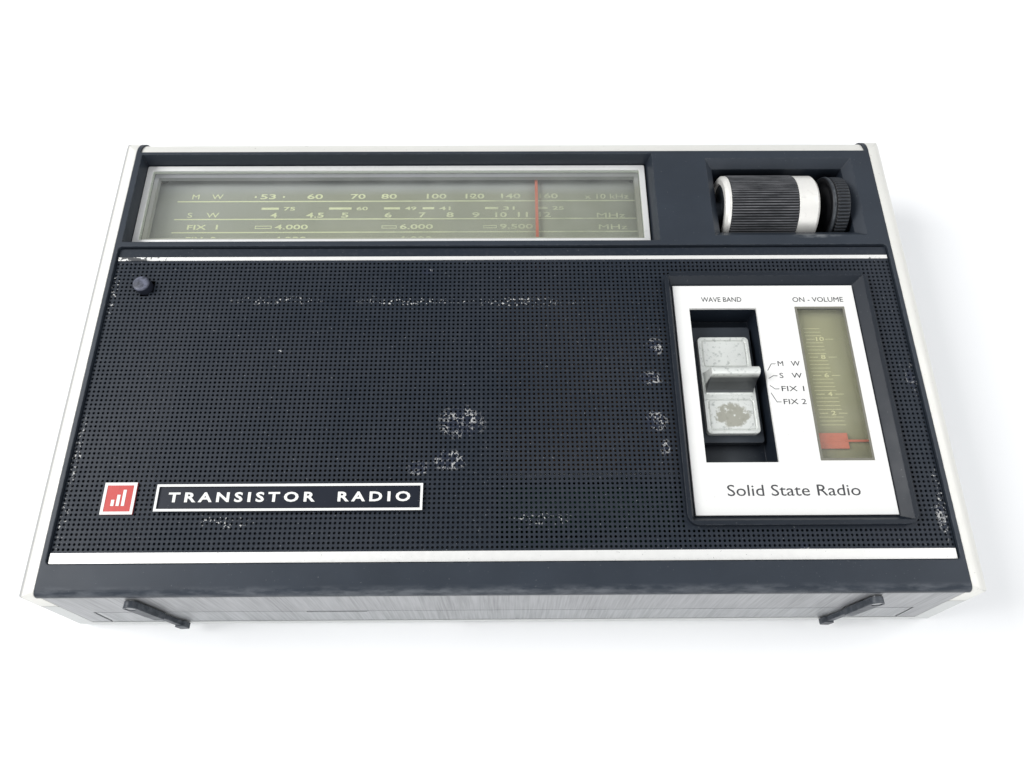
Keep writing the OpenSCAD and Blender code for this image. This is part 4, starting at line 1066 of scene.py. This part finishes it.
materials = {
    "black": black_moulding("black_moulding"),
    # A darker copy of the black moulding: painted shade on the bezel's slopes
    "bezel": black_moulding("bezel_moulding_shaded", (0.010, 0.014, 0.021), worn=0.35, shade=0.0),
    "navy": black_moulding("nameplate_enamel", (0.006, 0.009, 0.018), worn=0.1),
    "black_small": black_moulding("black_small_parts", (0.030, 0.036, 0.045), 0.7, 0.008, shade=0.0),
    "button": button_cap(),
    # The third colour is the painted highlight on the knurl crowns
    "wheel": ribbed("knurled_black", (0.020, 0.024, 0.030), (0.12, 0.13, 0.14),
                    half_height("volume_wheel")),
    "grille": grille_paint(),
    "silver": silver_spray(),
    "grey": grey_moulding(),
    "brushed": brushed_sheet("brushed_sheet", (0.36, 0.365, 0.375)),
    "brushed_cover": brushed_sheet("brushed_cover", (0.39, 0.40, 0.41)),
    "chrome": slide_plating(),
    "chrome_frame": satin("frame_satin", (0.93, 0.93, 0.91)),
    "chrome_knob": satin("knob_satin", (0.94, 0.92, 0.87), 0.3),
    "mast": plated("mast_plate", (0.84, 0.84, 0.83), 0.1, 0.15),
    "stripe": stripe_foil(),
    "dial": dial_sheet(),
    "volume": volume_sheet(),
    "dial_ink": fading_ink("dial_ink", (0.90, 0.88, 0.62), (0.42, 0.42, 0.34)),
    "volume_ink": ink("volume_ink", (0.78, 0.76, 0.52)),
    "plate_ink": ink("plate_ink", (0.07, 0.07, 0.075)),
    "bright_ink": ink("bright_ink", (0.86, 0.86, 0.83), 0.1),
    "white": white_enamel(),
    # The third colour is the painted highlight on the rib crowns
    "rubber": ribbed("ribbed_rubber", (0.030, 0.032, 0.036), (0.17, 0.17, 0.18),
                     half_height("knob_sleeve")),
    "red": gloss_red("gloss_red", (0.52, 0.028, 0.022)),
    "pointer": gloss_red("pointer_red", (0.66, 0.17, 0.115)),
    "lens_rim": ink("lens_rim", (0.21, 0.205, 0.17)),
    "window": clear_window("dial_window", (0.93, 0.95, 0.92), 0.05),
    "volume_window": clear_window("volume_window", (0.95, 0.95, 0.90), 0.05),
    "steel": plain_part("plated_steel", (0.52, 0.53, 0.54), 0.32, 0.9),
    "brass": plain_part("turned_brass", (0.62, 0.46, 0.18), 0.3, 1.0),
    "lamp": plain_part("lamp_glass", (0.75, 0.70, 0.55), 0.2),
    "board": plain_part("paper_board", (0.24, 0.14, 0.06), 0.55),
    "ferrite": plain_part("sintered_ferrite", (0.06, 0.06, 0.065), 0.6),
    "copper": plain_part("enamelled_copper", (0.42, 0.17, 0.06), 0.35, 0.8),
    "can": plain_part("drawn_can", (0.66, 0.67, 0.68), 0.34, 0.9),
    "blue": plain_part("blue_sleeve", (0.05, 0.13, 0.30), 0.4),
    "paper": plain_part("speaker_paper", (0.05, 0.045, 0.04), 0.85),
    "cell": plain_part("cell_jacket", (0.06, 0.20, 0.11), 0.35),
}

# The CAD pieces that wear each material
looks = {
    "black": ["cabinet_front"],
    "bezel": ["control_bezel"],
    "navy": ["nameplate"],
    "button": ["light_button"],
    "black_small": ["selector_shutter", "foot_left", "foot_right", "tuning_shaft", "earphone_jack"],
    "silver": ["top_cap", "side_cap_left", "side_cap_right"],
    "grey": ["rear_case", "battery_door"],
    "brushed": ["bottom_plate"],
    "brushed_cover": ["service_cover"],
    "chrome": ["selector_slide"],
    "chrome_frame": ["dial_frame"],
    "chrome_knob": ["knob_band", "knob_ring"],
    "mast": ["antenna_base", "antenna_tube_1", "antenna_tube_2", "antenna_tube_3", "antenna_rod"],
    "stripe": ["panel_stripes"],
    "dial": ["dial_scale"],
    "volume": ["volume_scale"],
    "white": ["control_plate", "rod_holders", "capacitor_drum", "tuning_capacitor"],
    "red": ["badge"],
    "pointer": ["dial_pointer", "volume_pointer"],
    "window": ["dial_lens"],
    "volume_window": ["volume_lens"],
    "steel": ["guide_rails", "button_spring", "foot_pins", "case_screws", "battery_contacts",
              "speaker_frame", "volume_control"],
    "brass": ["cord_pulley"],
    "lamp": ["dial_lamps"],
    "board": ["circuit_board", "band_switch", "lamp_switch"],
    "ferrite": ["ferrite_rod", "speaker_magnet"],
    "copper": ["antenna_coils"],
    "can": ["if_cans", "crystals"],
    "blue": ["electrolytics"],
    "paper": ["speaker_cone"],
    "cell": ["battery_cells"],
}
for look, names in looks.items():
    for name in names:
        for slot in nodes[name].material_slots:
            slot.material = materials[look]

camera()
pale_floor()
soft_light()
perforated_grille()
dial_print()
dial_cove()
volume_print()
plate_print()
nameplate_print()
badge_print()
ribbed_sleeve()
knurled_wheel()
